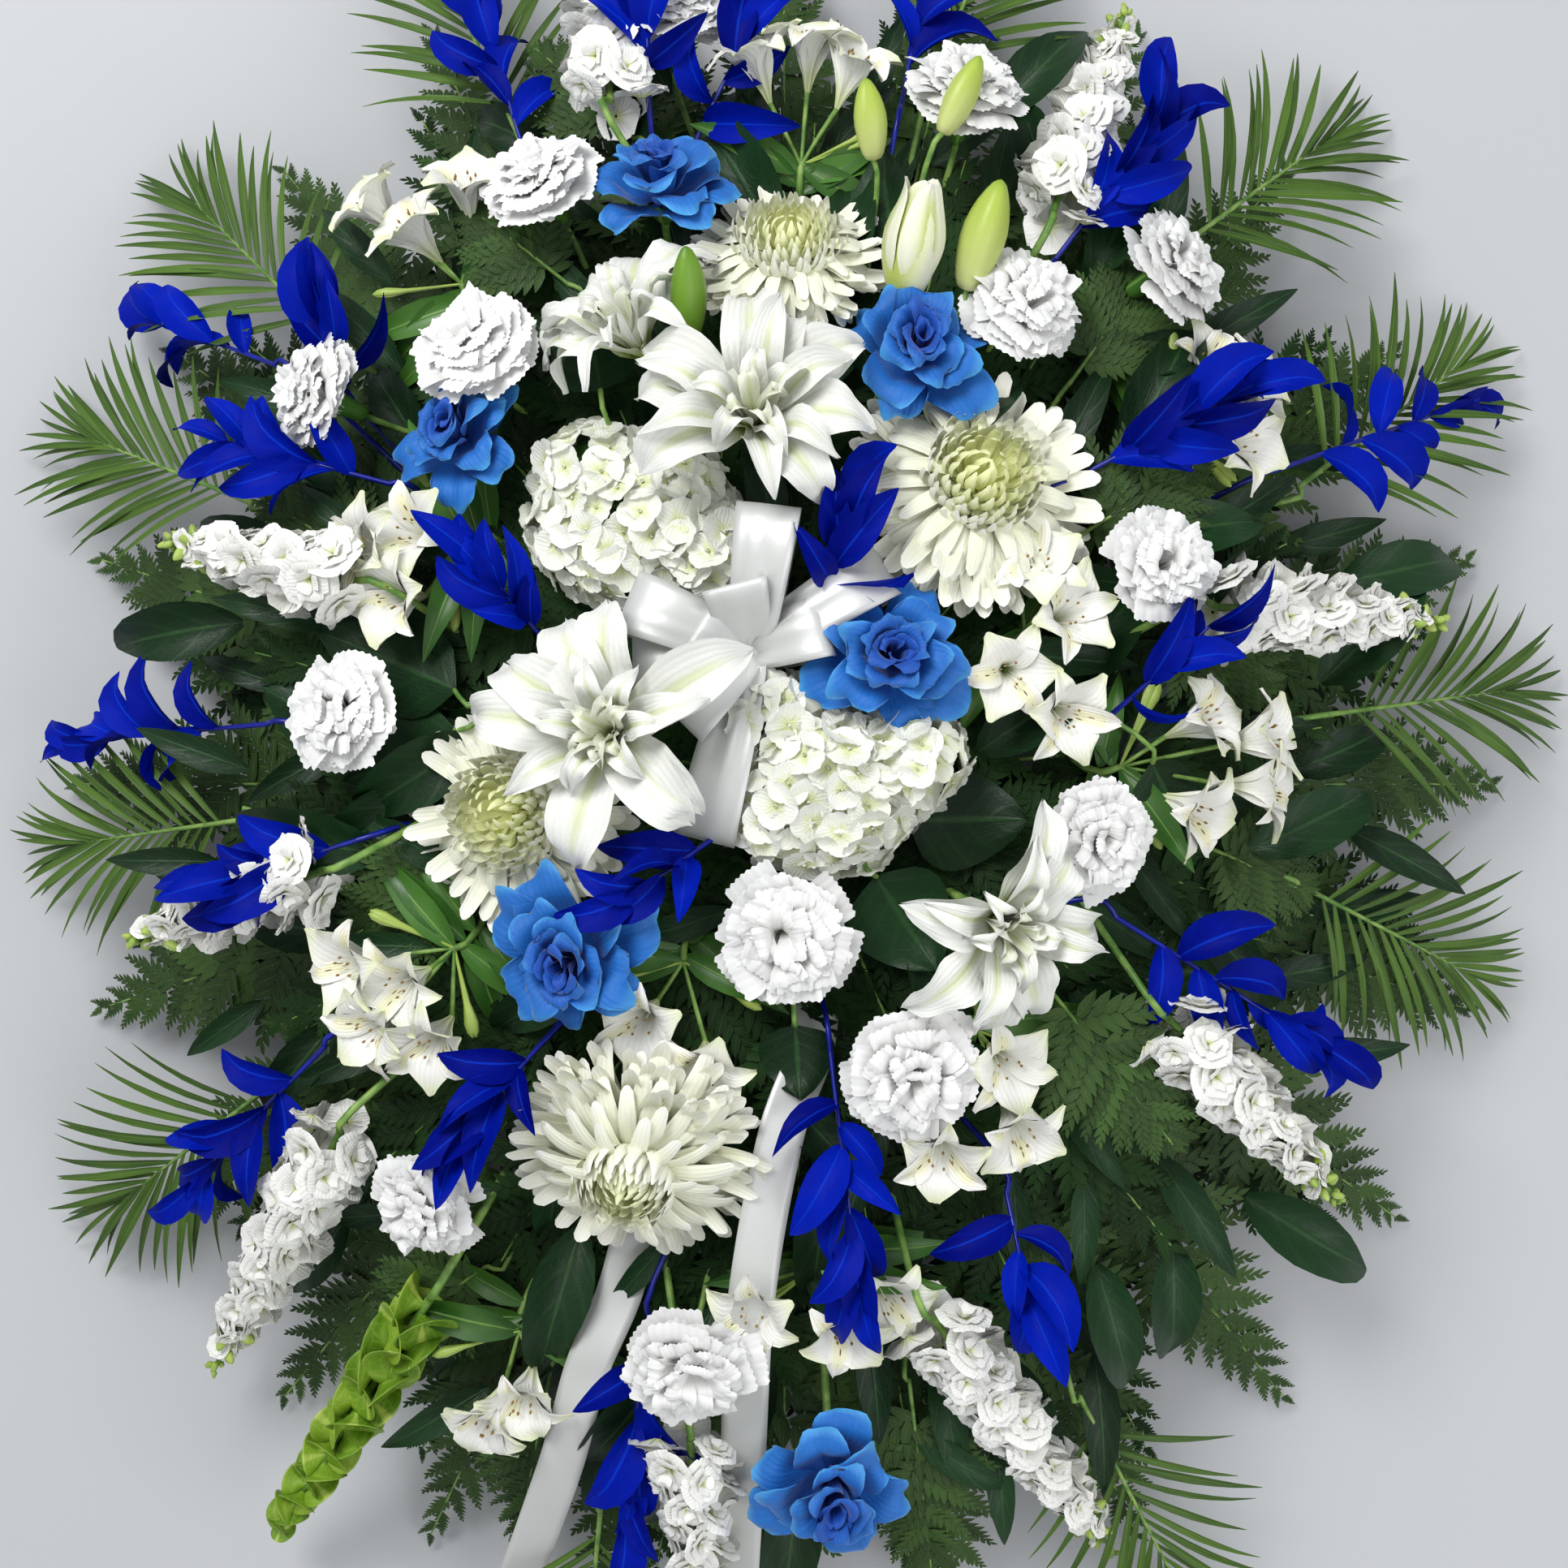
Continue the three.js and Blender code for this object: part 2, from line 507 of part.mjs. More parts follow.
// The middle of all that one node carries, which its root is placed by
function middleOf(node) {
  const spots = EVERYTHING.filter((item) => item.node === node)
    .map((item) => onDome(item.from ?? item.seen, (item.lift ?? 0) - 20));
  return spots.reduce((sum, spot) => sum.add(spot), vector(0, 0, 0)).multiplyScalar(1 / spots.length);
}

// A node stands in the foam by one straight root. Where its root comes out, the way to the
// flowers begins: on top of the foam for what is above it, else at its side
function rootAt(spot, shift) {
  const swing = shift * GOLDEN;
  const away = ROOT.spread * Math.sqrt(shift);
  const [offX, offY] = [away * Math.cos(swing), away * Math.sin(swing)];
  const [halfX, halfY] = [FOAM.width / 2, FOAM.length / 2];
  const reach = Math.max(Math.abs(spot.x) / halfX, Math.abs(spot.y) / halfY);
  if (reach < 1.5 && spot.z > FOAM.top) {
    const [mostX, mostY] = [halfX - ROOT.inset, halfY - ROOT.inset];
    const x = THREE.MathUtils.clamp(spot.x * ROOT.gather + offX, -mostX, mostX);
    const y = THREE.MathUtils.clamp(spot.y * ROOT.gather + offY, -mostY, mostY);
    const end = vector(x * 0.94, y * 0.94, FOAM.top - ROOT.deep);
    return { mouth: vector(x, y, FOAM.top + ROOT.out), end };
  }
  const out = vector(spot.x, spot.y, 0).normalize();
  const onSide = Math.abs(spot.x) / halfX > Math.abs(spot.y) / halfY;
  const wall = onSide
    ? vector(Math.sign(spot.x) * halfX, (spot.y / Math.abs(spot.x)) * halfX * 0.8 + offX, 0)
    : vector((spot.x / Math.abs(spot.y)) * halfY * 0.8 + offX, Math.sign(spot.y) * halfY, 0);
  wall.x = THREE.MathUtils.clamp(wall.x, -halfX, halfX);
  wall.y = THREE.MathUtils.clamp(wall.y, -halfY, halfY);
  wall.z = THREE.MathUtils.clamp(0.25 * spot.z + 30 + offY * 0.7, ROOT.lowest, ROOT.highest);
  const mouth = wall.clone().addScaledVector(out, ROOT.out);
  return { mouth, end: wall.clone().addScaledVector(out, -ROOT.deep) };
}

const STAGGER = 1.8; // stems of one root leave it this far apart
const MOST_STAGGERED = 7;
const STRAIGHT_END = 20; // a stem comes up to its flower in line with it
const BOW_STEP = 3.2;
const BOWS = 90;

// The first stem of a node finds it a free place in the foam
function rootFor(node) {
  if (roots.has(node)) return roots.get(node);
  const middle = middleOf(node);
  const make = (shift) => {
    const { mouth, end } = rootAt(middle, shift);
    return sprig([end, mouth], ROOT.radius, []);
  };
  const shifts = Array.from({ length: ROOT.tries }, (_, k) => k);
  const best = clearest(make, shifts, (other) => other !== foamGuard);
  roots.set(node, { ...rootAt(middle, best.variant), stems: 0 });
  return roots.get(node);
}

// The way of a stem from its root's mouth to a foot, bowed so that it clears what is there.
// The first stem of a node goes on from its root in one piece, and the others branch off it
function stemWay(node, foot, radius, aim = null) {
  const root = rootFor(node);
  const back = root.end.clone().sub(root.mouth).setLength(Math.min(root.stems, MOST_STAGGERED) * STAGGER);
  const start = root.mouth.clone().add(back);
  const way = (bow) => {
    const ahead = aim ? foot.clone().addScaledVector(aim, -STRAIGHT_END) : foot;
    const middle = root.mouth.clone().lerp(ahead, 0.55);
    const push = vector(Math.cos(bow * GOLDEN), Math.sin(bow * GOLDEN), 0.5 * Math.cos(bow));
    return [start, middle.addScaledVector(push, BOW_STEP * Math.sqrt(bow)), foot];
  };
  const bows = Array.from({ length: BOWS }, (_, k) => k);
  const best = clearest((bow) => sprig(way(bow), radius, []), bows);
  root.stems += 1;
  return root.stems > 1 ? way(best.variant) : [root.end, ...way(best.variant)];
}

function gatherStem(node, paint, foot, radius, aim = null) {
  const way = stemWay(node, foot, radius, aim);
  gather(node, paint, [sprig(way, radius, [])], [sprig(way, radius, [], GAP)]);
  return way;
}

// Blooms, each from its own base up along +Z

function envelope(profile, frame, sides = 9) {
  const cover = 1 / Math.cos(Math.PI / sides);
  return turned(profile.map(([r, z]) => [r * cover, z]), sides, frame);
}

function carnationHead(width, frame) {
  const r = width / 2;
  const rings = [ringOf(3, [[3, -22]]), ringOf(3, [[7.5, -6]])];
  const rims = [
    [ringOf(7, [[r, 7], [r * 0.78, -1]]), ringOf(3, [[6, 6]])],
    [ringOf(6, [[r * 0.86, 19], [r * 0.66, 10]], 0.3), ringOf(3, [[5, 12]])],
    [ringOf(4, [[r * 0.58, 27], [r * 0.36, 19]], 0.1), ringOf(3, [[3, 17]])],
  ];
  rings.push(...rims.flat());
  const guard = envelope([[0, -24], [7, -22], [8, -7], [r, -3], [r, 9], [r * 0.7, 27], [0, 29]], frame);
  return { solids: [skin(-24, rings, 26, frame)], guards: [guard], depth: 16, foot: -20 };
}

function mumHead(width, frame) {
  const r = width / 2;
  const hub = r * 0.2;
  const tier = (outer, inner, high, low, turn) => ringOf(11, [[r * outer, high], [r * inner, low]], turn);
  const inner = (z, scale = 1) => ringOf(6, [[hub * scale, z]]);
  const rings = [ringOf(5, [[4, -15]]), inner(-4, 0.9), tier(1, 0.66, -6, 1, 0), inner(5),
    tier(0.9, 0.6, 7, 9, 0.26), inner(11), tier(0.72, 0.48, 22, 16, 0), inner(17, 0.8),
    tier(0.5, 0.34, 34, 26, 0.26), inner(24, 0.7)];
  const guard = envelope([[0, -17], [6, -16], [r * 0.5, -7], [r, -9], [r, -1], [r * 0.74, 24],
    [r * 0.48, 36], [0, 37]], frame);
  return { solids: [skin(-17, rings, 32, frame)], guards: [guard], depth: 20, foot: -12 };
}

// A grown copy moved up its axis and one moved down it, which together clear the faces too
function bothWays(solid, axis) {
  return [-GAP, GAP].map((shift) => solid.translate(axis.clone().multiplyScalar(shift).toArray()));
}

function lilyHead(width, frame, grow = 0) {
  const r = width / 2 + grow;
  const petal = (scale, tip, shoulder, notch, turn) => ringOf(6, [[r * 0.17, notch],
    [r * scale * 0.56, shoulder], [r * scale, tip], [r * scale * 0.56, shoulder]], turn);
  const hub = (radius, z) => ringOf(6, [[radius + grow, z]]);
  const outer = [hub(4, -18), hub(8, -2 - grow), petal(1.02, 4, 21, 4, 0), hub(7, 5 + grow)];
  const inner = [hub(5, 3 - grow), petal(0.84, 26, 36, 10, Math.PI / 6), hub(6, 12 + grow)];
  const tuft = ringOf(4, [[5, 14], [r * 0.36, 34 + grow]], 0.4);
  const heart = [hub(3.5, 8), tuft, ringOf(4, [[2.5, 18 + grow]])];
  return wasm.Manifold.union([
    skin(-20 - grow, outer, 7 + grow, frame),
    skin(0, inner, 16 + grow, frame),
    skin(5, heart, 28 + grow, frame),
  ]);
}

function roseHead(width, frame) {
  const r = width / 2;
  const cup = (scale, z, curl, turn) => ringOf(5, [[r * scale * 0.8, z + 1], [r * scale * 1.03, z - curl],
    [r * scale * 1.03, z - curl]], turn);
  const hub = (radius, z) => ringOf(5, [[radius, z]]);
  const rings = [hub(5, -12), hub(8, -4), cup(0.98, 9, 4, 0), hub(8, 5), cup(0.76, 21, 3, 0.63),
    hub(7, 11), cup(0.46, 31, 0, 0.2), hub(4, 18)];
  const guard = envelope([[0, -14], [6, -13], [9, -5], [r * 1.04, 2], [r * 1.04, 14], [r * 0.84, 25],
    [r * 0.34, 36], [0, 37]], frame);
  return { solids: [skin(-14, rings, 30, frame)], guards: [guard], depth: 20, foot: -10 };
}

function hydrangeaHead([length, width], frame) {
  const [a, b, c] = [length / 2 - 3, width / 2 - 3, 42];
  const core = new THREE.SphereGeometry(1, 8, 5).rotateX(Math.PI / 2)
    .scale(a - 12, b - 12, c - 11).applyMatrix4(frame);
  const stalk = turned([[0, -50], [4, -48], [9, -20], [0, -10]], 4, frame);
  const florets = [];
  const count = 18;
  for (let k = 0; k < count; k += 1) {
    const high = 1 - (k + 0.5) * (1.3 / count);
    const angle = k * GOLDEN;
    const ring = Math.sqrt(1 - high * high);
    const out = vector(ring * Math.cos(angle), ring * Math.sin(angle), high);
    const spot = vector(out.x * a, out.y * b, out.z * c);
    const normal = vector(out.x / a, out.y / b, out.z / c).normalize();
    const local = frame.clone().multiply(frameAt(spot, normal, k * 37));
    const size = 16.4 + 0.6 * Math.sin(k * 2.1);
    const rings = [ringOf(4, [[5, -8]], Math.PI / 4), ringOf(4, [[size, 1], [size * 0.66, -1]])];
    florets.push(skin(-17, rings, -1, local));
  }
  const cap = envelope([[0, -22], [a * 0.8, -21], [a + 3, -8], [a + 3, 8], [a * 0.72, 34], [0, c + 3]],
    frame.clone().scale(vector(1, (b + 3) / (a + 3), 1)), 10);
  const below = envelope([[0, -50], [6, -49], [10, -19], [0, -12]], frame, 6);
  return { solids: [solidOf(core), stalk, ...florets], guards: [cap, below], depth: 22, foot: -46 };
}

function budShape(length, width, frame, grow = 0) {
  const [long, wide] = [length / 2 + grow, width / 2 + grow];
  return turned([[0, -long], [wide * 0.6, -long * 0.8], [wide, -long * 0.15], [wide * 0.7, long * 0.5],
    [0, long]], 6, frame);
}

function placeBloom(bloom, head, paint, radius) {
  const spot = onDome(bloom.seen, bloom.lift);
  const axis = facing(spot, bloom.tilt);
  const size = bloom.width ?? bloom.size;
  const { depth } = head(size, new THREE.Matrix4());
  const base = spot.clone().addScaledVector(axis, -depth);
  const made = head(size, frameAt(base, axis, bloom.seen[0]));
  gatherStem(bloom.node, paint, base.clone().addScaledVector(axis, made.foot), radius, axis);
  gather(bloom.node, paint, made.solids, made.guards);
}

function makeLilies() {
  for (const bloom of LILIES) {
    const spot = onDome(bloom.seen, bloom.lift);
    const axis = facing(spot, bloom.tilt);
    const base = spot.clone().addScaledVector(axis, -20);
    const frame = frameAt(base, axis, bloom.seen[0]);
    gatherStem(bloom.node, PAINT.lily, base.clone().addScaledVector(axis, -16), 3, axis);
    const guard = lilyHead(bloom.width, frame, GAP);
    gather(bloom.node, PAINT.lily, [lilyHead(bloom.width, frame)], bothWays(guard, axis));
    finish(bloom.node);
  }
}

function makeBuds() {
  for (const bud of BUDS) {
    const middle = onDome(bud.seen, bud.lift);
    const from = onDome(bud.from, bud.lift - 26);
    const axis = middle.clone().sub(from).normalize();
    const frame = frameAt(middle, axis);
    gatherStem(bud.node, PAINT.bud, middle.clone().addScaledVector(axis, -bud.length / 2 + 2), 2.2, axis);
    gather(bud.node, PAINT.bud, [budShape(bud.length, bud.width, frame)],
      [budShape(bud.length, bud.width, frame, GAP)]);
  }
  finish("lily_buds_1");
  finish("lily_buds_2");
}

function makeBlooms() {
  const kinds = [
    [MUMS, mumHead, PAINT.mum, 3.2],
    [HYDRANGEAS, hydrangeaHead, PAINT.hydrangea, 3.4],
    [ROSES, roseHead, PAINT.rose, 2.8],
    [CARNATIONS, carnationHead, PAINT.carnation, 2.4],
  ];
  for (const [blooms, head, paint, radius] of kinds) {
    blooms.forEach((bloom, i) => {
      placeBloom(bloom, head, paint, radius);
      if (blooms[i + 1]?.node !== bloom.node) finish(bloom.node);
    });
  }
}

// Sprays and spikes

// A trumpet of six petals with its stalk, from where the stalks part
function trumpet(fork, tip, turn, grow = 0) {
  const axis = tip.clone().sub(fork).normalize();
  const reach = tip.distanceTo(fork);
  const ring = (radius, z) => ringOf(3, [[radius + grow, z]]);
  const rings = [ring(1.5, 2 - reach), ring(1.8, -32), ringOf(6, [[23 + grow, 1], [9 + grow, -11]])];
  return skin(-reach, rings, -20 + grow, frameAt(tip, axis, turn));
}

function makeAlstroemerias() {
  ALSTROEMERIAS.forEach((spray, i) => {
    const fork = onDome(spray.from, -38);
    const way = gatherStem(spray.node, PAINT.alstroemeria, fork, 2.4);
    const back = way[way.length - 2].clone().sub(fork).normalize();
    spray.heads.forEach((seen, k) => {
      const spot = onDome(seen, 2);
      const sunk = fork.clone().addScaledVector(back, 3 + 6 * k);
      const turn = spray.turn + 25 * k;
      const make = (lift, grow) => trumpet(sunk, spot.clone().addScaledVector(UP, lift), turn, grow);
      const best = clearest(make, [0, 6, -6, 12, -12, 18, -18, 24, 30]);
      const axis = spot.clone().sub(sunk).normalize();
      gather(spray.node, PAINT.alstroemeria, [best.solid], bothWays(make(best.variant, GAP), axis));
    });
    if (ALSTROEMERIAS[i + 1]?.node !== spray.node) finish(spray.node);
  });
}

// A spike of ruffled florets, in whorls that shorten to its green tip
function spikeShape(frame, length, grow = 0) {
  const whorls = Math.round(length / 27);
  const rings = [ringOf(3, [[3 + grow, -4]])];
  for (let k = 0; k < whorls; k += 1) {
    const share = k / (whorls - 1);
    const z = 2 + share * (length - 12);
    const size = 25 - 15 * share ** 1.5 + grow;
    const turn = 0.4 * (k % 2);
    rings.push(ringOf(3, [[4.5 - 1.5 * share, z - grow]], turn));
    rings.push(ringOf(4, [[size, z + 6], [size * 0.66, z + 14]], turn + 0.5 * k));
  }
  rings.push(ringOf(3, [[2.5, length - 2 + grow]]));
  return skin(-8 - grow, rings, length + 5 + grow, frame);
}

function makeStocks() {
  STOCKS.forEach((spike, i) => {
    const from = onDome(spike.from, -8);
    const tip = onDome(spike.tip, 2);
    const axis = tip.clone().sub(from);
    const length = axis.length();
    axis.normalize();
    gatherStem(spike.node, PAINT.stock, from.clone().addScaledVector(axis, -3), 2.6, axis);
    const frame = frameAt(from, axis);
    const guard = spikeShape(frame, length, GAP);
    gather(spike.node, PAINT.stock, [spikeShape(frame, length)], bothWays(guard, axis));
    if (STOCKS[i + 1]?.node !== spike.node) finish(spike.node);
  });
}

// Leafy things

// Where a sprig shows is a bowed line; the whole of it sinks or lifts until it is clear
function sprigLine(from, tip, arch, stretches, lift) {
  const middle = from.clone().lerp(tip, 0.5).addScaledVector(UP, arch + lift);
  const ends = [from, tip].map((end) => end.clone().setZ(Math.max(LOWEST.spot, end.z + lift)));
  const line = new THREE.CatmullRomCurve3([ends[0], middle, ends[1]], false, "centripetal");
  return line.getSpacedPoints(stretches);
}

const LIFTS = [0, -6, 6, -12, 12, -18, 18, -26, -34];
const SWINGS = [0, 14, -14, 28, -28, 42, -42];

// A leafy sprig in one skin from its root in the foam to its tip. Each leaf swings up or down
// until it is clear, and is left out where there is no room for it
function makeSprig(kind, item) {
  const { paint, radius, arch, leafAt, stretches, crowding } = kind;
  const from = onDome(item.from, item.lift + kind.sink);
  const tip = onDome(item.tip, item.lift);
  const count = stretches(item);
  const bare = (lift) => sprig(sprigLine(from, tip, arch, count, lift), radius, []);
  const lift = clearest(bare, LIFTS).variant;
  const line = sprigLine(from, tip, arch, count, lift);
  const along = line[1].clone().sub(line[0]).normalize();
  const path = [...stemWay(item.node, line[0], radius, along), ...line.slice(1)];
  const bareStretches = path.length - line.length;
  const leaves = [];
  for (let k = 0; k < count; k += 1) {
    for (const hand of [-1, 1]) {
      const wanted = leafAt(item, k, count, hand, line);
      if (!wanted) continue;
      const place = { node: item.node, at: k + bareStretches, hand };
      const clear = swungLeaf({ ...wanted, ...place }, path, radius, crowding);
      if (clear) leaves.push(clear);
    }
  }
  gather(item.node, paint, [sprig(path, radius, leaves)], [sprig(path, radius, leaves, GAP)]);
}

// "crowding" is the share of a leaf that others may take up before it is left out
function swungLeaf(wanted, path, radius, crowding) {
  const swung = (swing) => {
    const side = wanted.dir.clone().cross(UP).normalize();
    const angle = THREE.MathUtils.degToRad(swing);
    const dir = wanted.dir.clone().applyAxisAngle(side, angle);
    return { ...wanted, dir, up: UP.clone().applyAxisAngle(side, angle) };
  };
  const { at, node } = wanted;
  const make = (swing) => leafProbe(path[at], path[at + 1], leafRim(swung(swing), path, at, radius, 0));
  const best = clearest(make, SWINGS, () => true, nodes.get(node)?.guards);
  if (best.overlap > crowding * best.solid.volume()) return null;
  if (best.solid.boundingBox().min[2] < LOWEST.leaf) return null;
  return swung(best.variant);
}

// A stand-in for one leaf, to find out whether it has room
function leafProbe(from, to, rim) {
  const positions = [];
  const ids = [from, ...rim, to].map((p) => addPoint(positions, p));
  const centre = [...rim, from, to].reduce((sum, p) => sum.add(p), vector(0, 0, 0))
    .multiplyScalar(1 / (rim.length + 2));
  const over = addPoint(positions, centre.clone().addScaledVector(UP, 0.8));
  const under = addPoint(positions, centre.clone().addScaledVector(UP, -0.8));
  const triangles = [];
  ids.forEach((id, k) => {
    const next = ids[(k + 1) % ids.length];
    triangles.push(over, id, next, under, next, id);
  });
  return solidFrom(positions, triangles);
}

function sideways(line, k, hand) {
  const along = line[k + 1].clone().sub(line[k]).normalize();
  return { along, side: along.clone().cross(UP).normalize().multiplyScalar(hand) };
}

const RUSCUS_KIND = {
  paint: PAINT.ruscus, radius: 1.9, arch: 7, sink: -30, crowding: 0.2, stretches: (item) => item.leaves,
  leafAt: (item, k, count, hand, line) => {
    if (hand !== (k % 2 ? 1 : -1)) return null;
    const { along, side } = sideways(line, k, hand);
    const open = k === count - 1 ? 0.25 : 0.95;
    const dir = along.addScaledVector(side, open).addScaledVector(UP, 0.25).normalize();
    return { dir, length: item.leaf, width: item.leaf * 0.36, shape: RUSCUS_LEAF };
  },
};
const FERN_KIND = {
  paint: PAINT.fern, radius: 1.6, arch: 8, sink: -12, crowding: 0.2, stretches: () => 5,
  leafAt: (item, k, count, hand, line) => {
    const { along, side } = sideways(line, k, hand);
    const share = (k + 0.5) / count;
    const half = (item.width / 2) * Math.sin(Math.PI * (0.16 + 0.76 * share)) ** 0.7;
    const dir = side.clone().addScaledVector(along, 0.45).normalize();
    return { dir, length: half, width: 19, shape: FERN_LEAF };
  },
};
const FILL_KIND = {
  ...FERN_KIND, crowding: 0.02, stretches: () => 4,
  leafAt: (...where) => ({ ...FERN_KIND.leafAt(...where), shape: FILL_LEAF }),
};
const SALAL_KIND = {
  paint: PAINT.salal, radius: 1.8, arch: 5, sink: 0, crowding: 0.2, stretches: () => 1,
  leafAt: (item, k, count, hand, line) => {
    const { side } = sideways(line, k, hand);
    const length = line[k].distanceTo(line[k + 1]);
    return { dir: side, length: item.width / 2, width: length, shape: BROAD_HALF };
  },
};
const PALM_KIND = {
  paint: PAINT.palm, radius: 1.7, arch: 6, sink: -30, crowding: 0.2, stretches: () => 5,
  leafAt: (item, k, count, hand, line) => {
    const { along, side } = sideways(line, k, hand);
    const dir = side.clone().multiplyScalar(0.62).add(along).normalize();
    return { dir, length: 96 - 8 * k, width: 9, shape: PALM_LEAF };
  },
};

function makeSprigs(kind, list) {
  list.forEach((item, i) => {
    makeSprig(kind, item);
    if (list[i + 1]?.node !== item.node) finish(item.node);
  });
}

// The fronds of one ring, each in the node of its quarter of the spray
function fillFronds({ count, from, to, lift, width, turn }) {
  const scale = (EYE_HEIGHT - DOME.rim) / PICTURE_FOCUS;
  return Array.from({ length: count }, (_, k) => {
    const angle = (2 * Math.PI * (k + turn)) / count;
    const seen = (share) => [
      PICTURE_MIDDLE + (DOME.halfWidth * share * Math.cos(angle)) / scale,
      PICTURE_MIDDLE - (DOME.halfLength * share * Math.sin(angle)) / scale,
    ];
    const node = FERN_QUARTERS[Math.floor((2 * angle) / Math.PI)];
    return { node, from: seen(from), tip: seen(to), width, lift };
  });
}

function makeFerns() {
  const fill = FILL.flatMap(fillFronds);
  for (const node of FERN_QUARTERS) {
    FERNS.filter((item) => item.node === node).forEach((item) => makeSprig(FERN_KIND, item));
    fill.filter((item) => item.node === node).forEach((item) => makeSprig(FILL_KIND, item));
    finish(node);
  }
}

// A spike of cupped green bells that turn round it
function makeBells() {
  const from = onDome(BELLS.from, -20);
  const tip = onDome(BELLS.tip, 4);
  const line = sprigLine(from, tip, 6, BELLS.bells, 0);
  const along = line[1].clone().sub(line[0]).normalize();
  const path = [...stemWay(BELLS.node, line[0], 2.2, along), ...line.slice(1)];
  gather(BELLS.node, PAINT.bells, [sprig(path, 2.3, [])], [sprig(path, 2.3, [], GAP)]);
  for (let k = 0; k < BELLS.bells; k += 1) {
    const onward = line[k + 1].clone().sub(line[k]).normalize();
    const out = onward.clone().cross(UP).normalize().applyAxisAngle(onward, k * 2.1 + 0.4)
      .addScaledVector(onward, 0.5).normalize();
    const centre = line[k].clone().lerp(line[k + 1], 0.5).addScaledVector(out, 14);
    const cup = (grow) => [ringOf(3, [[4 + grow, -8]]), ringOf(6, [[15 + grow, 4]])];
    const make = (grow) => skin(-15, cup(grow), -5 + grow, frameAt(centre, out, 20 * k));
    const solid = make(0);
    if (overlapOf(solid) < 0.3 * solid.volume()) gather(BELLS.node, PAINT.bells, [solid], [make(GAP)]);
  }
  finish(BELLS.node);
}

// Ribbon

function band(points, across, widths, thickness) {
  const positions = [];
  const rows = points.map((point, i) => {
    const before = points[Math.max(0, i - 1)];
    const after = points[Math.min(points.length - 1, i + 1)];
    const side = across[i].clone().normalize().multiplyScalar(widths[i] / 2);
    const normal = after.clone().sub(before).cross(across[i]).normalize().multiplyScalar(thickness / 2);
    const corner = (a, b) => {
      const spot = point.clone().addScaledVector(side, a).addScaledVector(normal, b);
      return addPoint(positions, spot);
    };
    return [corner(-1, -1), corner(1, -1), corner(1, 1), corner(-1, 1)];
  });
  const triangles = [];
  for (let i = 0; i + 1 < rows.length; i += 1) {
    for (let k = 0; k < 4; k += 1) {
      const [a, b] = [rows[i][k], rows[i][(k + 1) % 4]];
      const [c, d] = [rows[i + 1][(k + 1) % 4], rows[i + 1][k]];
      triangles.push(a, b, c, a, c, d);
    }
  }
  const [first, last] = [rows[0], rows[rows.length - 1]];
  triangles.push(first[0], first[2], first[1], first[0], first[3], first[2]);
  triangles.push(last[0], last[1], last[2], last[0], last[2], last[3]);
  return solidFrom(positions, triangles);
}

// Loops of the bow: each leans out from the knot towards "tip", its edge turned by "turn" degrees
const BOW = {
  knot: { seen: [905, 800], lift: -10 },
  loops: [
    { tip: [965, 640], rise: 40, turn: 24 },
    { tip: [805, 775], rise: 30, turn: -20 },
    { tip: [1030, 785], rise: 34, turn: 10 },
  ],
};
const TAILS = [
  { node: "ribbon_tails", width: 27, lift: [-44, -16, -10, -14, -20],
    seen: [[992, 1235], [962, 1400], [926, 1600], [915, 1807], [905, 2000]] },
  { node: "ribbon_tails", width: 27, lift: [-50, -26, -20, -20],
    seen: [[768, 1580], [722, 1690], [690, 1807], [625, 1985]] },
];

const EVERYTHING = [LILIES, BUDS, MUMS, HYDRANGEAS, ROSES, CARNATIONS, ALSTROEMERIAS, STOCKS, RUSCUS,
  SALAL, FERNS, PALMS, [BELLS], [{ node: "ribbon_bow", seen: BOW.knot.seen }],
  TAILS.map(({ node, seen }) => ({ node, seen: seen[0] }))].flat();

function makeRibbon() {
  const knot = onDome(BOW.knot.seen, BOW.knot.lift - 16);
  gatherStem("ribbon_bow", PAINT.ribbon, knot, 2.2);
  gather("ribbon_bow", PAINT.ribbon, [budShape(26, 22, frameAt(knot, UP))],
    [budShape(26, 22, frameAt(knot, UP), GAP)]);
  for (const loop of BOW.loops) {
    const out = onDome(loop.tip, BOW.knot.lift).sub(knot).setZ(0);
    const reach = out.length();
    out.normalize();
    const side = vector(-out.y, out.x, 0).applyAxisAngle(out, THREE.MathUtils.degToRad(loop.turn));
    const make = (scale, grow = 0) => {
      const steps = 6;
      const points = Array.from({ length: steps + 1 }, (_, i) => {
        const angle = ((i - steps / 2) / (steps / 2)) * Math.PI * 0.94;
        const away = (reach * scale * (1 + Math.cos(angle))) / 2;
        const rise = (loop.rise * scale * (1 + Math.cos(angle))) / 2 + 12 * scale * Math.sin(angle);
        return knot.clone().addScaledVector(out, away).addScaledVector(UP, rise);
      });
      const pinch = (i) => Math.sin(Math.PI * (0.06 + (0.88 * i) / steps)) ** 0.7;
      const widths = points.map((_, i) => RIBBON.width * scale * pinch(i) + 2 * grow);
      return band(points, points.map(() => side), widths, RIBBON.thick + 2 * grow);
    };
    const best = clearest(make, [1, 0.9, 0.8, 0.7, 0.6]);
    gather("ribbon_bow", PAINT.ribbon, [best.solid], [make(best.variant, GAP)]);
  }
  finish("ribbon_bow");
}

function tailBand(line, width, grow = 0) {
  const across = line.map(() => vector(1, 0, 0));
  return band(line, across, line.map(() => width + 2 * grow), RIBBON.thick + 2 * grow);
}

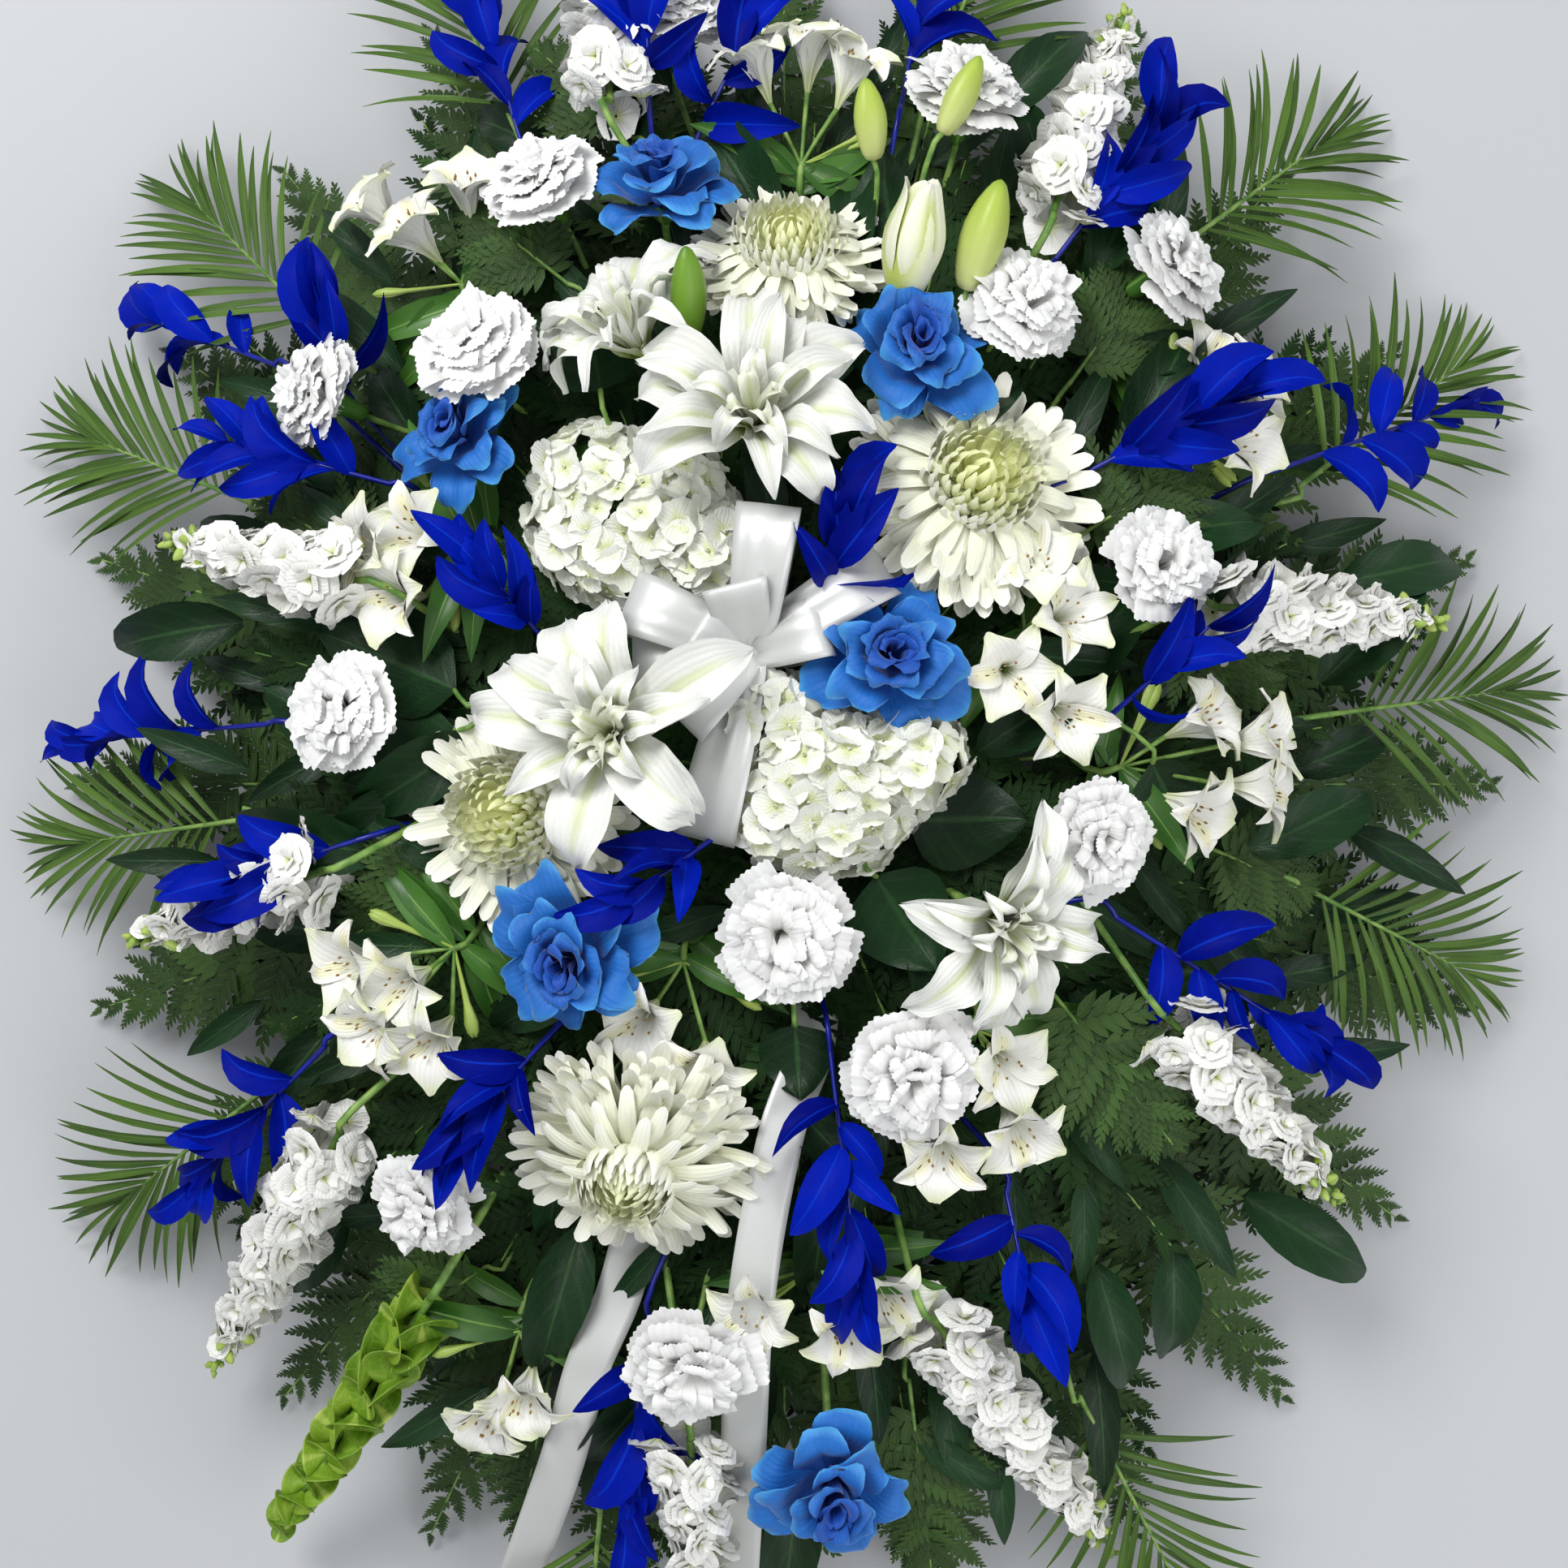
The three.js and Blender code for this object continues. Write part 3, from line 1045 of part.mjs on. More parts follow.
function makeTails() {
  for (const tail of TAILS) {
    const points = tail.seen.map((seen, i) => onDome(seen, tail.lift[i]));
    const line = new THREE.CatmullRomCurve3(points, false, "centripetal").getSpacedPoints(8);
    gatherStem(tail.node, PAINT.ribbon, line[0].clone().lerp(line[1], 0.1), 1.8);
    gather(tail.node, PAINT.ribbon, [tailBand(line, tail.width)], [tailBand(line, tail.width, GAP)]);
  }
  finish("ribbon_tails");
}

// Holder

function trayShape() {
  const inner = box(TRAY.width - 2 * TRAY.wall, TRAY.length - 2 * TRAY.wall, TRAY.height, 0, 0, TRAY.floor);
  return box(TRAY.width, TRAY.length, TRAY.height, 0, 0, 0).subtract(inner);
}

// A flat grid over the foam, on posts that stand on the tray's rim
function cageShape(grow = 0) {
  const [bar, thick] = [CAGE.bar + 2 * grow, CAGE.thick + 2 * grow];
  const top = FOAM.top + GAP - grow;
  const halfWidth = (TRAY.width - TRAY.wall) / 2;
  const halfLength = (TRAY.length - TRAY.wall) / 2;
  const low = TRAY.height + GAP - grow;
  const bars = [];
  for (const x of CAGE.along) {
    bars.push(box(bar, 2 * halfLength + thick, thick, x, 0, top));
    for (const end of [-1, 1]) bars.push(box(bar, thick, top + thick - low, x, end * halfLength, low));
  }
  for (const y of CAGE.across) {
    bars.push(box(2 * halfWidth + thick, bar, thick, 0, y, top));
    for (const end of [-1, 1]) bars.push(box(thick, bar, top + thick - low, end * halfWidth, y, low));
  }
  return wasm.Manifold.union(bars);
}

function foamBlock(grow = 0) {
  return box(FOAM.width + 2 * grow, FOAM.length + 2 * grow, FOAM.top - FOAM.base + 2 * grow, 0, 0,
    FOAM.base - grow);
}

// The foam with a plain hole for each root
function foamShape() {
  const block = foamBlock();
  const holes = near(block, (other) => other !== foamGuard && other !== cageGuard && other !== trayGuard);
  const met = holes.filter((hole) => block.intersect(hole.solid).volume() > 1e-6);
  return met.reduce((rest, hole) => rest.subtract(hole.solid), block);
}

keepOff([cageShape(GAP)]);
const cageGuard = placed[0];
keepOff([box(TRAY.width + 2 * GAP, TRAY.length + 2 * GAP, TRAY.height + 2 * GAP, 0, 0, -GAP)]);
const trayGuard = placed[1];
keepOff([foamBlock(GAP)]);
foamGuard = placed[2];

// Where two pieces still touch, the later one gives way by a small notch
function partFrom(piece, other) {
  if (!boxesMeet(piece.solid.boundingBox(), other.solid.boundingBox())) return;
  const common = piece.solid.intersect(other.solid);
  if (common.volume() < TOUCH) return;
  for (const touch of common.decompose()) {
    const { min, max } = touch.boundingBox();
    const size = max.map((high, k) => high - min[k] + 2 * GAP);
    const middle = max.map((high, k) => (high + min[k]) / 2);
    const notch = box(size[0], size[1], size[2], middle[0], middle[1], middle[2] - size[2] / 2);
    other.solid = largestBody(other.solid.subtract(notch).simplify(MERGE));
  }
}

// The spray

function meshOf({ node, paint, solid }) {
  const { numProp, vertProperties, triVerts } = solid.getMesh();
  const positions = new Float32Array((vertProperties.length / numProp) * 3);
  for (let i = 0; i < positions.length; i += 1) {
    positions[i] = vertProperties[Math.floor(i / 3) * numProp + (i % 3)];
  }
  const geometry = new THREE.BufferGeometry();
  geometry.setAttribute("position", new THREE.BufferAttribute(positions, 3));
  geometry.setIndex(new THREE.BufferAttribute(new Uint32Array(triVerts), 1));
  geometry.computeVertexNormals();
  const mesh = new THREE.Mesh(geometry, new THREE.MeshStandardMaterial(paint));
  mesh.name = node;
  return mesh;
}

makeLilies();
makeBuds();
makeBlooms();
makeRibbon();
makeTails();
makeAlstroemerias();
makeStocks();
makeSprigs(RUSCUS_KIND, RUSCUS);
makeBells();
makeSprigs(SALAL_KIND, SALAL);
makeSprigs(PALM_KIND, PALMS);
makeFerns();

const holder = [
  { node: "holder_tray", paint: PAINT.holder, solid: trayShape() },
  { node: "foam_block", paint: PAINT.foam, solid: largestBody(foamShape()) },
  { node: "holder_cage", paint: PAINT.holder, solid: cageShape() },
];
const pieces = [...holder, ...finished];
pieces.forEach((piece, i) => pieces.slice(i + 1).forEach((other) => partFrom(piece, other)));

const spray = new THREE.Group();
pieces.forEach((piece) => spray.add(meshOf(piece)));

export default spray;
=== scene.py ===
# %% [markdown]
# # A flower spray for a funeral, laid on its back
# A florist builds this spray on a flat tray with a block of wet foam under a cage of plastic bars.
# Every stem is pushed into the foam, greens first, then the large blooms, then the fillers.
# The packed model gives each group of flowers as one plain solid. This script keeps the holder's
# solids, and grows real petals and leaves over the places of the others.

# %% Open the packed model
import math

import bpy
import numpy as np
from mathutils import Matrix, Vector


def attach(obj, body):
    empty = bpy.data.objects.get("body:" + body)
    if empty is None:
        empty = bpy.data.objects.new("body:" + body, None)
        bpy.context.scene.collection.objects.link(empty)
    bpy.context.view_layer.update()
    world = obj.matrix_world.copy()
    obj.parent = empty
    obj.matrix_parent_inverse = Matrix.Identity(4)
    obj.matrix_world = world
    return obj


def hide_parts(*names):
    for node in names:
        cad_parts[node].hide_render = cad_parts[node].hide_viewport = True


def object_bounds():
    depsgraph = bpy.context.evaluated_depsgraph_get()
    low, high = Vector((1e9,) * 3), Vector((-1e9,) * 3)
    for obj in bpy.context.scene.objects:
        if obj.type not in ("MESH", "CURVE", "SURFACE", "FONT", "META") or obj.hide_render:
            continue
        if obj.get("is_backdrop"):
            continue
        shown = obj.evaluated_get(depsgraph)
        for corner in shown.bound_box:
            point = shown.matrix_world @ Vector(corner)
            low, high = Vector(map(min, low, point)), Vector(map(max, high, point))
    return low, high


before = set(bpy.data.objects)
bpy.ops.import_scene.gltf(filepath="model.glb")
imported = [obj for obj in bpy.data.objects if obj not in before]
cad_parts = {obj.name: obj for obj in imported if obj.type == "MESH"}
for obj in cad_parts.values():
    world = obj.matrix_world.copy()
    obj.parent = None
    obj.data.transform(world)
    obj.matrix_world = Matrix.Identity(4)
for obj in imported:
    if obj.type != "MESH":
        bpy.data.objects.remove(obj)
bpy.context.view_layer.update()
scene = bpy.context.scene
print("solids in the frame:", len(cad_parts))

# %% [markdown]
# ## Where a flower stands
# The spray is a shallow dome. The camera hangs straight above it, so a place in the picture and the
# dome's height there give one point in space. The solids were placed by the same rule, so the petals
# land on them with no fitting by eye.

# %% Points on the dome
EYE_HEIGHT = 1.55
PICTURE_WIDE, PICTURE_MIDDLE, PICTURE_FOCUS = 1932, 966.0, 2935.0
DOME_X, DOME_Y, DOME_RIM, DOME_RISE = 0.432, 0.530, 0.062, 0.168
DOME_TOP, DOME_DROOP, DOME_LEAN, LOWEST = 0.230, 0.040, 0.75, 0.014
UP = np.array([0.0, 0.0, 1.0])
GOLDEN = math.pi * (3 - math.sqrt(5))
MM = 0.001


def unit(v):
    return np.asarray(v, float) / max(np.linalg.norm(v), 1e-9)


def dome_height(x, y):
    """The dome's height over the surface; past its rim it goes on down as a skirt."""
    reach = (x / DOME_X) ** 2 + (y / DOME_Y) ** 2
    return DOME_RIM + DOME_RISE * math.sqrt(max(0.0, 1 - reach)) - DOME_DROOP * max(0.0, reach - 1)


def at_height(seen, z):
    """The point at a height that the camera sees at a place in the picture."""
    scale = (EYE_HEIGHT - z) / PICTURE_FOCUS
    return np.array([(seen[0] - PICTURE_MIDDLE) * scale, (PICTURE_MIDDLE - seen[1]) * scale, z])


def on_dome(seen, lift=0.0):
    """The point of the dome seen at a place, lifted by some millimetres, found in ten rounds."""
    spot = at_height(seen, DOME_TOP)
    for _ in range(10):
        z = max(LOWEST, dome_height(spot[0], spot[1]) + lift * MM)
        spot = at_height(seen, (z + spot[2]) / 2)
    return spot


def facing(spot, tilt=(0, 0)):
    """The way a flower faces there: outwards with the dome, and tilted a little more if asked."""
    lean = np.array([spot[0] / DOME_X, spot[1] / DOME_Y, 0]) * DOME_LEAN
    return unit(lean + np.array([tilt[0], tilt[1], 1.0]))


print("top of the dome:", round(dome_height(0, 0), 3), "m")

# %% Turning a shape to face along an axis


def about_z(degrees):
    c, s = math.cos(math.radians(degrees)), math.sin(math.radians(degrees))
    return np.array([[c, -s, 0], [s, c, 0], [0, 0, 1.0]])


def turn_between(a, b):
    """The rotation that brings one direction onto another the short way."""
    c, d = np.cross(a, b), float(np.dot(a, b))
    if d < -0.9999:
        return np.diag([1.0, -1.0, -1.0])
    k = np.array([[0, -c[2], c[1]], [c[2], 0, -c[0]], [-c[1], c[0], 0]])
    return np.eye(3) + k + k @ k / (1 + d)


def stand(origin, axis, turn=0.0):
    """A place for a shape: which way its axes point, and where its foot is."""
    return turn_between(UP, unit(axis)) @ about_z(turn), np.asarray(origin, float)


print("a flower at the right rim faces", facing(np.array([DOME_X, 0, DOME_RIM])).round(2))

# %% [markdown]
# ## Skins, and the bag that holds them
# A flower is many thin skins: each petal is a grid of points bent in two directions. A bag gathers
# the skins of one piece, with their places on the petal as a UV map and two numbers for each petal:
# its layer, from the outermost to the heart, and a random shade. The materials read both.

# %% A bag of skins


def grid_faces(rows, cols, closed=False):
    across = cols if closed else cols - 1
    i, j = np.meshgrid(np.arange(rows - 1), np.arange(across), indexing="ij")
    k = (j + 1) % cols
    quads = np.stack([i * cols + j, (i + 1) * cols + j, (i + 1) * cols + k, i * cols + k], -1)
    return quads.reshape(-1), np.full(i.size, 4)


class Bag:
    def __init__(self):
        self.skins, self.count = [], 0

    def add(self, points, loops, sizes, uv, layer, shade, paint):
        one = np.ones(len(points))
        self.skins.append((points, loops + self.count, sizes, uv, layer * one, shade * one, paint))
        self.count += len(points)

    def grid(self, points, paint, layer=0.0, shade=0.5, at=None, turn=0.0, closed=False):
        """A grid of points in millimetres, turned about its own axis and stood at a place."""
        rows, cols = points.shape[:2]
        loops, sizes = grid_faces(rows, cols, closed)
        v, u = np.meshgrid(np.linspace(0, 1, rows), np.linspace(0, 1, cols), indexing="ij")
        flat = points.reshape(-1, 3)
        if at is not None:
            flat = (flat * MM) @ (at[0] @ about_z(turn)).T + at[1]
        self.add(flat, loops, sizes, np.stack([u, v], -1).reshape(-1, 2), layer, shade, paint)

    def shape(self, data, paint, at=None, turn=0.0):
        """A shape that Geometry Nodes grew, stood at a place."""
        points = data["points"]
        if at is not None:
            points = (points * MM) @ (at[0] @ about_z(turn)).T + at[1]
        self.add(points, data["loops"], data["sizes"], data["uv"], data["layer"], data["shade"], paint)

    def mesh(self, name):
        paints = list(dict.fromkeys(s[6] for s in self.skins))
        points, loops, sizes, uv, layer, shade = (
            np.concatenate([s[k] for s in self.skins]) for k in range(6)
        )
        mesh = bpy.data.meshes.new(name)
        mesh.vertices.add(len(points))
        mesh.vertices.foreach_set("co", points.astype(np.float32).ravel())
        mesh.loops.add(len(loops))
        mesh.loops.foreach_set("vertex_index", loops.astype(np.int32))
        mesh.polygons.add(len(sizes))
        starts = np.concatenate([[0], np.cumsum(sizes)[:-1]])
        mesh.polygons.foreach_set("loop_start", starts.astype(np.int32))
        mesh.update(calc_edges=True)
        picked = np.concatenate([np.full(len(s[2]), paints.index(s[6])) for s in self.skins])
        mesh.polygons.foreach_set("material_index", picked.astype(np.int32))
        mesh.uv_layers.new(name="UVMap").data.foreach_set("uv", uv[loops].astype(np.float32).ravel())
        for label, values in (("layer", layer), ("shade", shade)):
            mesh.attributes.new(label, "FLOAT", "POINT").data.foreach_set("value", values.astype(np.float32))
        for paint in paints:
            mesh.materials.append(paint)
        mesh.shade_smooth()
        return mesh


print("a grid of 8 by 6 points has", len(grid_faces(8, 6)[1]), "faces")

# %% From a bag to a piece


def piece_of(name, bag, node, thickness=0.0):
    """Turns a bag into a finished piece that stands for a solid, thickened if it is cloth."""
    piece = bpy.data.objects.new(name, bag.mesh(name))
    scene.collection.objects.link(piece)
    if thickness:
        solidify = piece.modifiers.new("satin thickness", "SOLIDIFY")
        solidify.thickness, solidify.offset = thickness, 0.0
    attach(piece, "root")
    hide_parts(node)
    return piece


def seeded(name):
    """A source of chance that gives each flower the same draws in every run."""
    return np.random.default_rng(sum(map(ord, name)))


print("the first draw of rose_1:", round(seeded("rose_1").uniform(), 3))

# %% [markdown]
# ## One petal
# Nearly every petal here is one rule: a smooth line from the heart to the tip, a width along it, and
# then a cup, a fold along the middle, a ruffle that grows towards the rim, and a rim that is round,
# pointed or fringed. Values are in millimetres, out from the axis and up along it.

# %% A smooth line, and the petal along it
RIM_ROUND, FOLD_WIDE, SLOPE_STEP = 1.6, 0.16, 0.02


def along(points, t):
    """Points on a smooth curve through the given ones, at shares t of its way."""
    points = np.asarray(points, float)
    last = len(points) - 1
    place = np.clip(t, 0, 1) * last
    k = np.minimum(place.astype(int), last - 1)
    f = (place - k)[..., None]
    p0, p1 = points[np.maximum(k - 1, 0)], points[k]
    p2, p3 = points[k + 1], points[np.minimum(k + 2, last)]
    bend = (2 * p0 - 5 * p1 + 4 * p2 - p3) * f**2 + (3 * p1 - p0 - 3 * p2 + p3) * f**3
    return 0.5 * (2 * p1 + (p2 - p0) * f + bend)


def petal(line, widths, rows=8, cols=6, rim=0.0, cup=0.0, fold=0.0, ruffle=0.0, folds=3.0,
          fringe=0.0, phase=0.0, twist=0.0, wavy=0.0, waves=2.0, wrapped=False):
    """One petal: t runs from its heart to its tip, a from one side to the other."""
    t = np.linspace(0, 1, rows + 1)[:, None] * np.ones(cols + 1)
    a = np.ones(rows + 1)[:, None] * np.linspace(-1, 1, cols + 1)
    reach = t * (1 - rim * np.abs(a) ** RIM_ROUND)
    reach[-1, ::2] -= fringe
    centre = along(line, reach)
    ahead = along(line, reach + SLOPE_STEP) - along(line, reach - SLOPE_STEP)
    ahead /= np.maximum(np.linalg.norm(ahead, axis=-1, keepdims=True), 1e-9)
    normal = np.stack([-ahead[..., 1], ahead[..., 0]], -1)
    half = along(np.asarray(widths, float)[:, None], t)[..., 0]
    size = np.abs(half) if not wrapped else centre[..., 0] * half
    # A second, finer wave that drifts along the petal keeps the ruffle from looking regular.
    wave = np.sin(folds * math.pi * a + phase) + 0.5 * np.sin(2.3 * folds * math.pi * a + 2 * phase + 4 * t)
    lift = cup * size * a**2 - fold * size * np.exp(-((a / FOLD_WIDE) ** 2)) + ruffle * reach**2 * wave
    lift = lift + twist * a * reach * size
    # The two sides of a waved petal go up and down out of step, and lie still at both its ends.
    swell = np.sin(waves * 2 * math.pi * t + phase + 1.4 * np.sign(a))
    lift = lift + wavy * a**2 * swell * np.sin(math.pi * t)
    spot = centre + normal * lift[..., None]
    if wrapped:
        return np.stack([spot[..., 0] * np.cos(half * a), spot[..., 0] * np.sin(half * a), spot[..., 1]], -1)
    return np.stack([spot[..., 0], half * a, spot[..., 1]], -1)


print("one petal has", petal([(0, 0), (1, 1)], [1, 1]).shape[:2], "points")

# %% Tubes for stems, and smooth lines


def tube(path, radii, sides=6):
    """A round skin along a path; radii run from its first point to its last."""
    path = np.asarray(path, float)
    ahead = np.gradient(path, axis=0)
    ahead /= np.maximum(np.linalg.norm(ahead, axis=1, keepdims=True), 1e-9)
    side = np.cross(ahead, unit([0.31, 0.17, 0.93]))
    side /= np.maximum(np.linalg.norm(side, axis=1, keepdims=True), 1e-9)
    other = np.cross(ahead, side)
    radius = np.interp(np.linspace(0, 1, len(path)), np.linspace(0, 1, len(radii)), radii)[:, None, None]
    angle = np.linspace(0, 2 * math.pi, sides, endpoint=False)[None, :, None]
    ring = side[:, None] * np.cos(angle) - other[:, None] * np.sin(angle)
    return path[:, None] + ring * radius


def line_through(points, steps):
    return along(points, np.linspace(0, 1, steps + 1))


print("a stem in 12 steps has", tube(line_through(np.eye(3), 12), [1, 1]).shape[:2], "points")

# %% [markdown]
# ## Writing nodes as sums
# A node tree is easier to read as arithmetic. One small class wraps a socket, so that `1 - mask`
# adds the Math nodes by itself. It serves both the materials and the growing trees.

# %% Sockets that do sums


class Val:
    def __init__(self, build, socket):
        self.build, self.socket = build, socket

    def maths(self, operation, *values):
        return self.build.node("ShaderNodeMath", {"operation": operation}, dict(enumerate(values)))

    def __add__(self, other):
        return self.maths("ADD", self, other)

    def __radd__(self, other):
        return self.maths("ADD", other, self)

    def __sub__(self, other):
        return self.maths("SUBTRACT", self, other)

    def __rsub__(self, other):
        return self.maths("SUBTRACT", other, self)

    def __mul__(self, other):
        return self.maths("MULTIPLY", self, other)

    def __rmul__(self, other):
        return self.maths("MULTIPLY", other, self)

    def __truediv__(self, other):
        return self.maths("DIVIDE", self, other)

    def __pow__(self, other):
        return self.maths("POWER", self, other)

    def sin(self):
        return self.maths("SINE", self)

    def cos(self):
        return self.maths("COSINE", self)

    def root(self):
        return self.maths("SQRT", self)

    def size(self):
        return self.maths("ABSOLUTE", self)

    def step(self, low, high):
        """0 below low, 1 above high, smooth between them; high may be under low."""
        return self.build.node("ShaderNodeMapRange", {"interpolation_type": "SMOOTHSTEP"},
                               {"Value": self, "From Min": low, "From Max": high})


print("methods of a socket:", sum(map(callable, vars(Val).values())))

# %% The builder of nodes


class Build:
    def __init__(self, tree):
        self.tree = tree

    def node(self, kind, settings, values, out=0):
        made = self.tree.nodes.new(kind)
        for key, value in settings.items():
            setattr(made, key, value)
        for key, value in values.items():
            socket = made.inputs[key] if isinstance(key, int) else next(
                s for s in made.inputs if s.name == key and s.enabled)
            if isinstance(value, Val):
                self.tree.links.new(value.socket, socket)
            else:
                socket.default_value = value
        outs = [s for s in made.outputs if s.enabled]
        found = outs[out] if isinstance(out, int) else next(s for s in outs if s.name == out)
        return Val(self, found)

    def vector(self, operation, a, b=(0, 0, 0)):
        values = {0: a, 3: b} if operation == "SCALE" else {0: a, 1: b}
        return self.node("ShaderNodeVectorMath", {"operation": operation}, values)


print("methods of a builder:", sum(map(callable, vars(Build).values())))

# %% [markdown]
# ## Paints
# White flowers are never one white. Petals turn cream or green towards the heart, fine veins run
# along them, and each petal is a little lighter or darker than the next. So one recipe makes every
# petal paint from a few colours, and the places come from the petal's own UV map.

# %% Colours and the paint bench


def colour(text):
    """A colour as a screen shows it, made linear."""
    parts = [int(text[i:i + 2], 16) / 255 for i in (0, 2, 4)]
    return tuple(c / 12.92 if c <= 0.04045 else ((c + 0.055) / 1.055) ** 2.4 for c in parts) + (1.0,)


class Paint(Build):
    def __init__(self, name, **constants):
        self.material = bpy.data.materials.new(name)
        self.material.use_nodes = True
        super().__init__(self.material.node_tree)
        self.shader = self.tree.nodes["Principled BSDF"]
        for key, value in constants.items():
            self.shader.inputs[key.replace("_", " ")].default_value = value
        uv = self.node("ShaderNodeUVMap", {"uv_map": "UVMap"}, {})
        self.across = self.node("ShaderNodeSeparateXYZ", {}, {0: uv}, "X")
        self.along = self.node("ShaderNodeSeparateXYZ", {}, {0: uv}, "Y")
        self.uv = uv

    def number(self, label):
        return self.node("ShaderNodeAttribute", {"attribute_name": label}, {}, "Fac")

    def mix(self, factor, a, b, blend="MIX"):
        return self.node("ShaderNodeMix", {"data_type": "RGBA", "blend_type": blend},
                         {"Factor": factor, "A": a, "B": b})

    def noise(self, scale, detail=3.0, where=None):
        place = where or self.node("ShaderNodeTexCoord", {}, {}, "Object")
        return self.node("ShaderNodeTexNoise", {}, {"Vector": place, "Scale": scale, "Detail": detail}, "Fac")

    def finish(self, base, rough=None, height=None, depth=0.3, reach=0.0008):
        links = {"Base Color": base, "Roughness": rough}
        if height is not None:
            links["Normal"] = self.node("ShaderNodeBump", {}, {
                "Strength": depth, "Distance": reach, "Height": height})
        for key, value in links.items():
            if isinstance(value, Val):
                self.tree.links.new(value.socket, self.shader.inputs[key])
            elif value is not None:
                self.shader.inputs[key].default_value = value
        return self.material


print("a screen's middle grey is", round(colour("808080")[0], 3), "of the light")

# %% Paints of the blooms


def petal_paint(name, heart, body, tip, veins=16.0, heart_end=0.35, depth=0.35, rough=0.55, ends=1.0,
                deep=None, rib=None, rib_wide=0.10, rib_share=0.35, **constants):
    """A petal from its heart to its tip; deep colours whole petals by how far in they stand."""
    p = Paint(name, **constants)
    shade, layer = p.number("shade"), p.number("layer")
    wander = p.noise(260.0, 2.0)
    lines = ((p.across + (wander - 0.5) * 0.05) * (veins * 2 * math.pi)).sin() * 0.5 + 0.5
    base = p.mix(p.along.step(0.0, heart_end), colour(heart), colour(body))
    base = p.mix(p.along.step(0.72, 1.0) * ends, base, colour(tip))
    if rib:
        middle = (p.across - 0.5).size().step(rib_wide, 0.02) * p.along.step(0.95, 0.55)
        base = p.mix(middle * rib_share, base, colour(rib))
    # On the rose the darker deep colour is painted shade; elsewhere it is the heart's own colour.
    if deep:
        base = p.mix(layer.step(deep[1], deep[2]), base, colour(deep[0]))
    base = p.mix(0.05 * lines + 0.09 * shade, base, (0.25, 0.25, 0.25, 1.0), "MULTIPLY")
    soft = p.noise(900.0, 2.0)
    return p.finish(base, rough + 0.12 * (wander - 0.5), lines * 0.6 + soft * 0.6, depth)


LILY = petal_paint("lily petal white", "b4c84e", "f3f4ee", "f5f6f2", veins=9, heart_end=0.36, rough=0.45,
                   rib="c6d678", rib_wide=0.16, rib_share=0.5, deep=("e6ecb8", 0.80, 1.1))
MUM = petal_paint("chrysanthemum cream", "ecf2b0", "f8f9e4", "fcfcf2", veins=4, depth=0.30, rough=0.55,
                  deep=("f5f9b6", 0.66, 1.05))
# Rose: the darker petal feet and inner petals are painted shade, the lighter tips painted highlight.
ROSE = petal_paint("rose dyed azure", "0a44a4", "186fc8", "48a2e6", veins=14, depth=0.30, rough=0.62,
                   deep=("0c4fb4", 0.25, 0.9), Sheen_Weight=0.2, Sheen_Roughness=0.4)
CARNATION = petal_paint("carnation white", "eef0e4", "f3f3f1", "f5f5f4", veins=7, depth=0.25, rough=0.6)
HYDRANGEA = petal_paint("hydrangea ivory", "e2e9ac", "f8faee", "fcfdf8", veins=7, rough=0.55,
                        heart_end=0.5)
ALSTROEMERIA = petal_paint("alstroemeria white", "dce6a4", "fbfbf6", "eef3cc", veins=9, rough=0.5,
                           heart_end=0.5)
STOCK = petal_paint("stock white", "dde6a6", "fafaf5", "fcfcf8", veins=7, rough=0.6, heart_end=0.42)
BUD_WHITE = petal_paint("bud opening white", "c3cf72", "f2f3da", "fafaee", veins=5, rough=0.42, rib="b9c84a",
                        rib_wide=0.30, rib_share=0.9)
BUD_GREEN = petal_paint("lily bud green", "dbe09a", "b2c850", "86ac2c", veins=6, rough=0.42, heart_end=0.75)
BUD_LEAF = petal_paint("lily bud in leaf green", "8fae3e", "6f9a28", "527d1c", veins=6, rough=0.42)
print("petal paints:", len(bpy.data.materials))

# %% [markdown]
# The narrow inner petals of an alstroemeria carry a yellow patch and short dark dashes. The dashes
# are a stretched cell pattern on the petal's own map, kept to the middle of its length.

# %% The streaked petal


def streaked_petal():
    p = Paint("alstroemeria streaked", Roughness=0.5)
    stretched = p.vector("MULTIPLY", p.uv, (9.0, 6.0, 1.0))
    cells = p.node("ShaderNodeTexVoronoi", {}, {"Vector": stretched, "Scale": 1.0}, "Distance")
    middle = (p.across - 0.5).size().step(0.42, 0.10)
    zone = p.along.step(0.42, 0.55) * p.along.step(0.90, 0.78) * middle
    dash = cells.step(0.30, 0.18) * zone
    base = p.mix(p.along.step(0.1, 0.5), colour("dfe6b8"), colour("f8f7f0"))
    base = p.mix(zone * 0.5, base, colour("e9e796"))
    base = p.mix(dash, base, colour("5e2536"))
    lines = (p.across * (8 * 2 * math.pi)).sin()
    return p.finish(base, 0.5, lines, 0.25)


STREAKED = streaked_petal()
print("made", STREAKED.name)

# %% [markdown]
# ## Greens
# Leaves differ mostly in their veins. Ruscus and palm have long veins side by side, the broad leaves
# a net of fine ones, and every leaf a midrib. The painted ruscus is sprayed with a glossy blue that
# pools a little, so its gloss varies over the leaf.

# %% Leaf paints


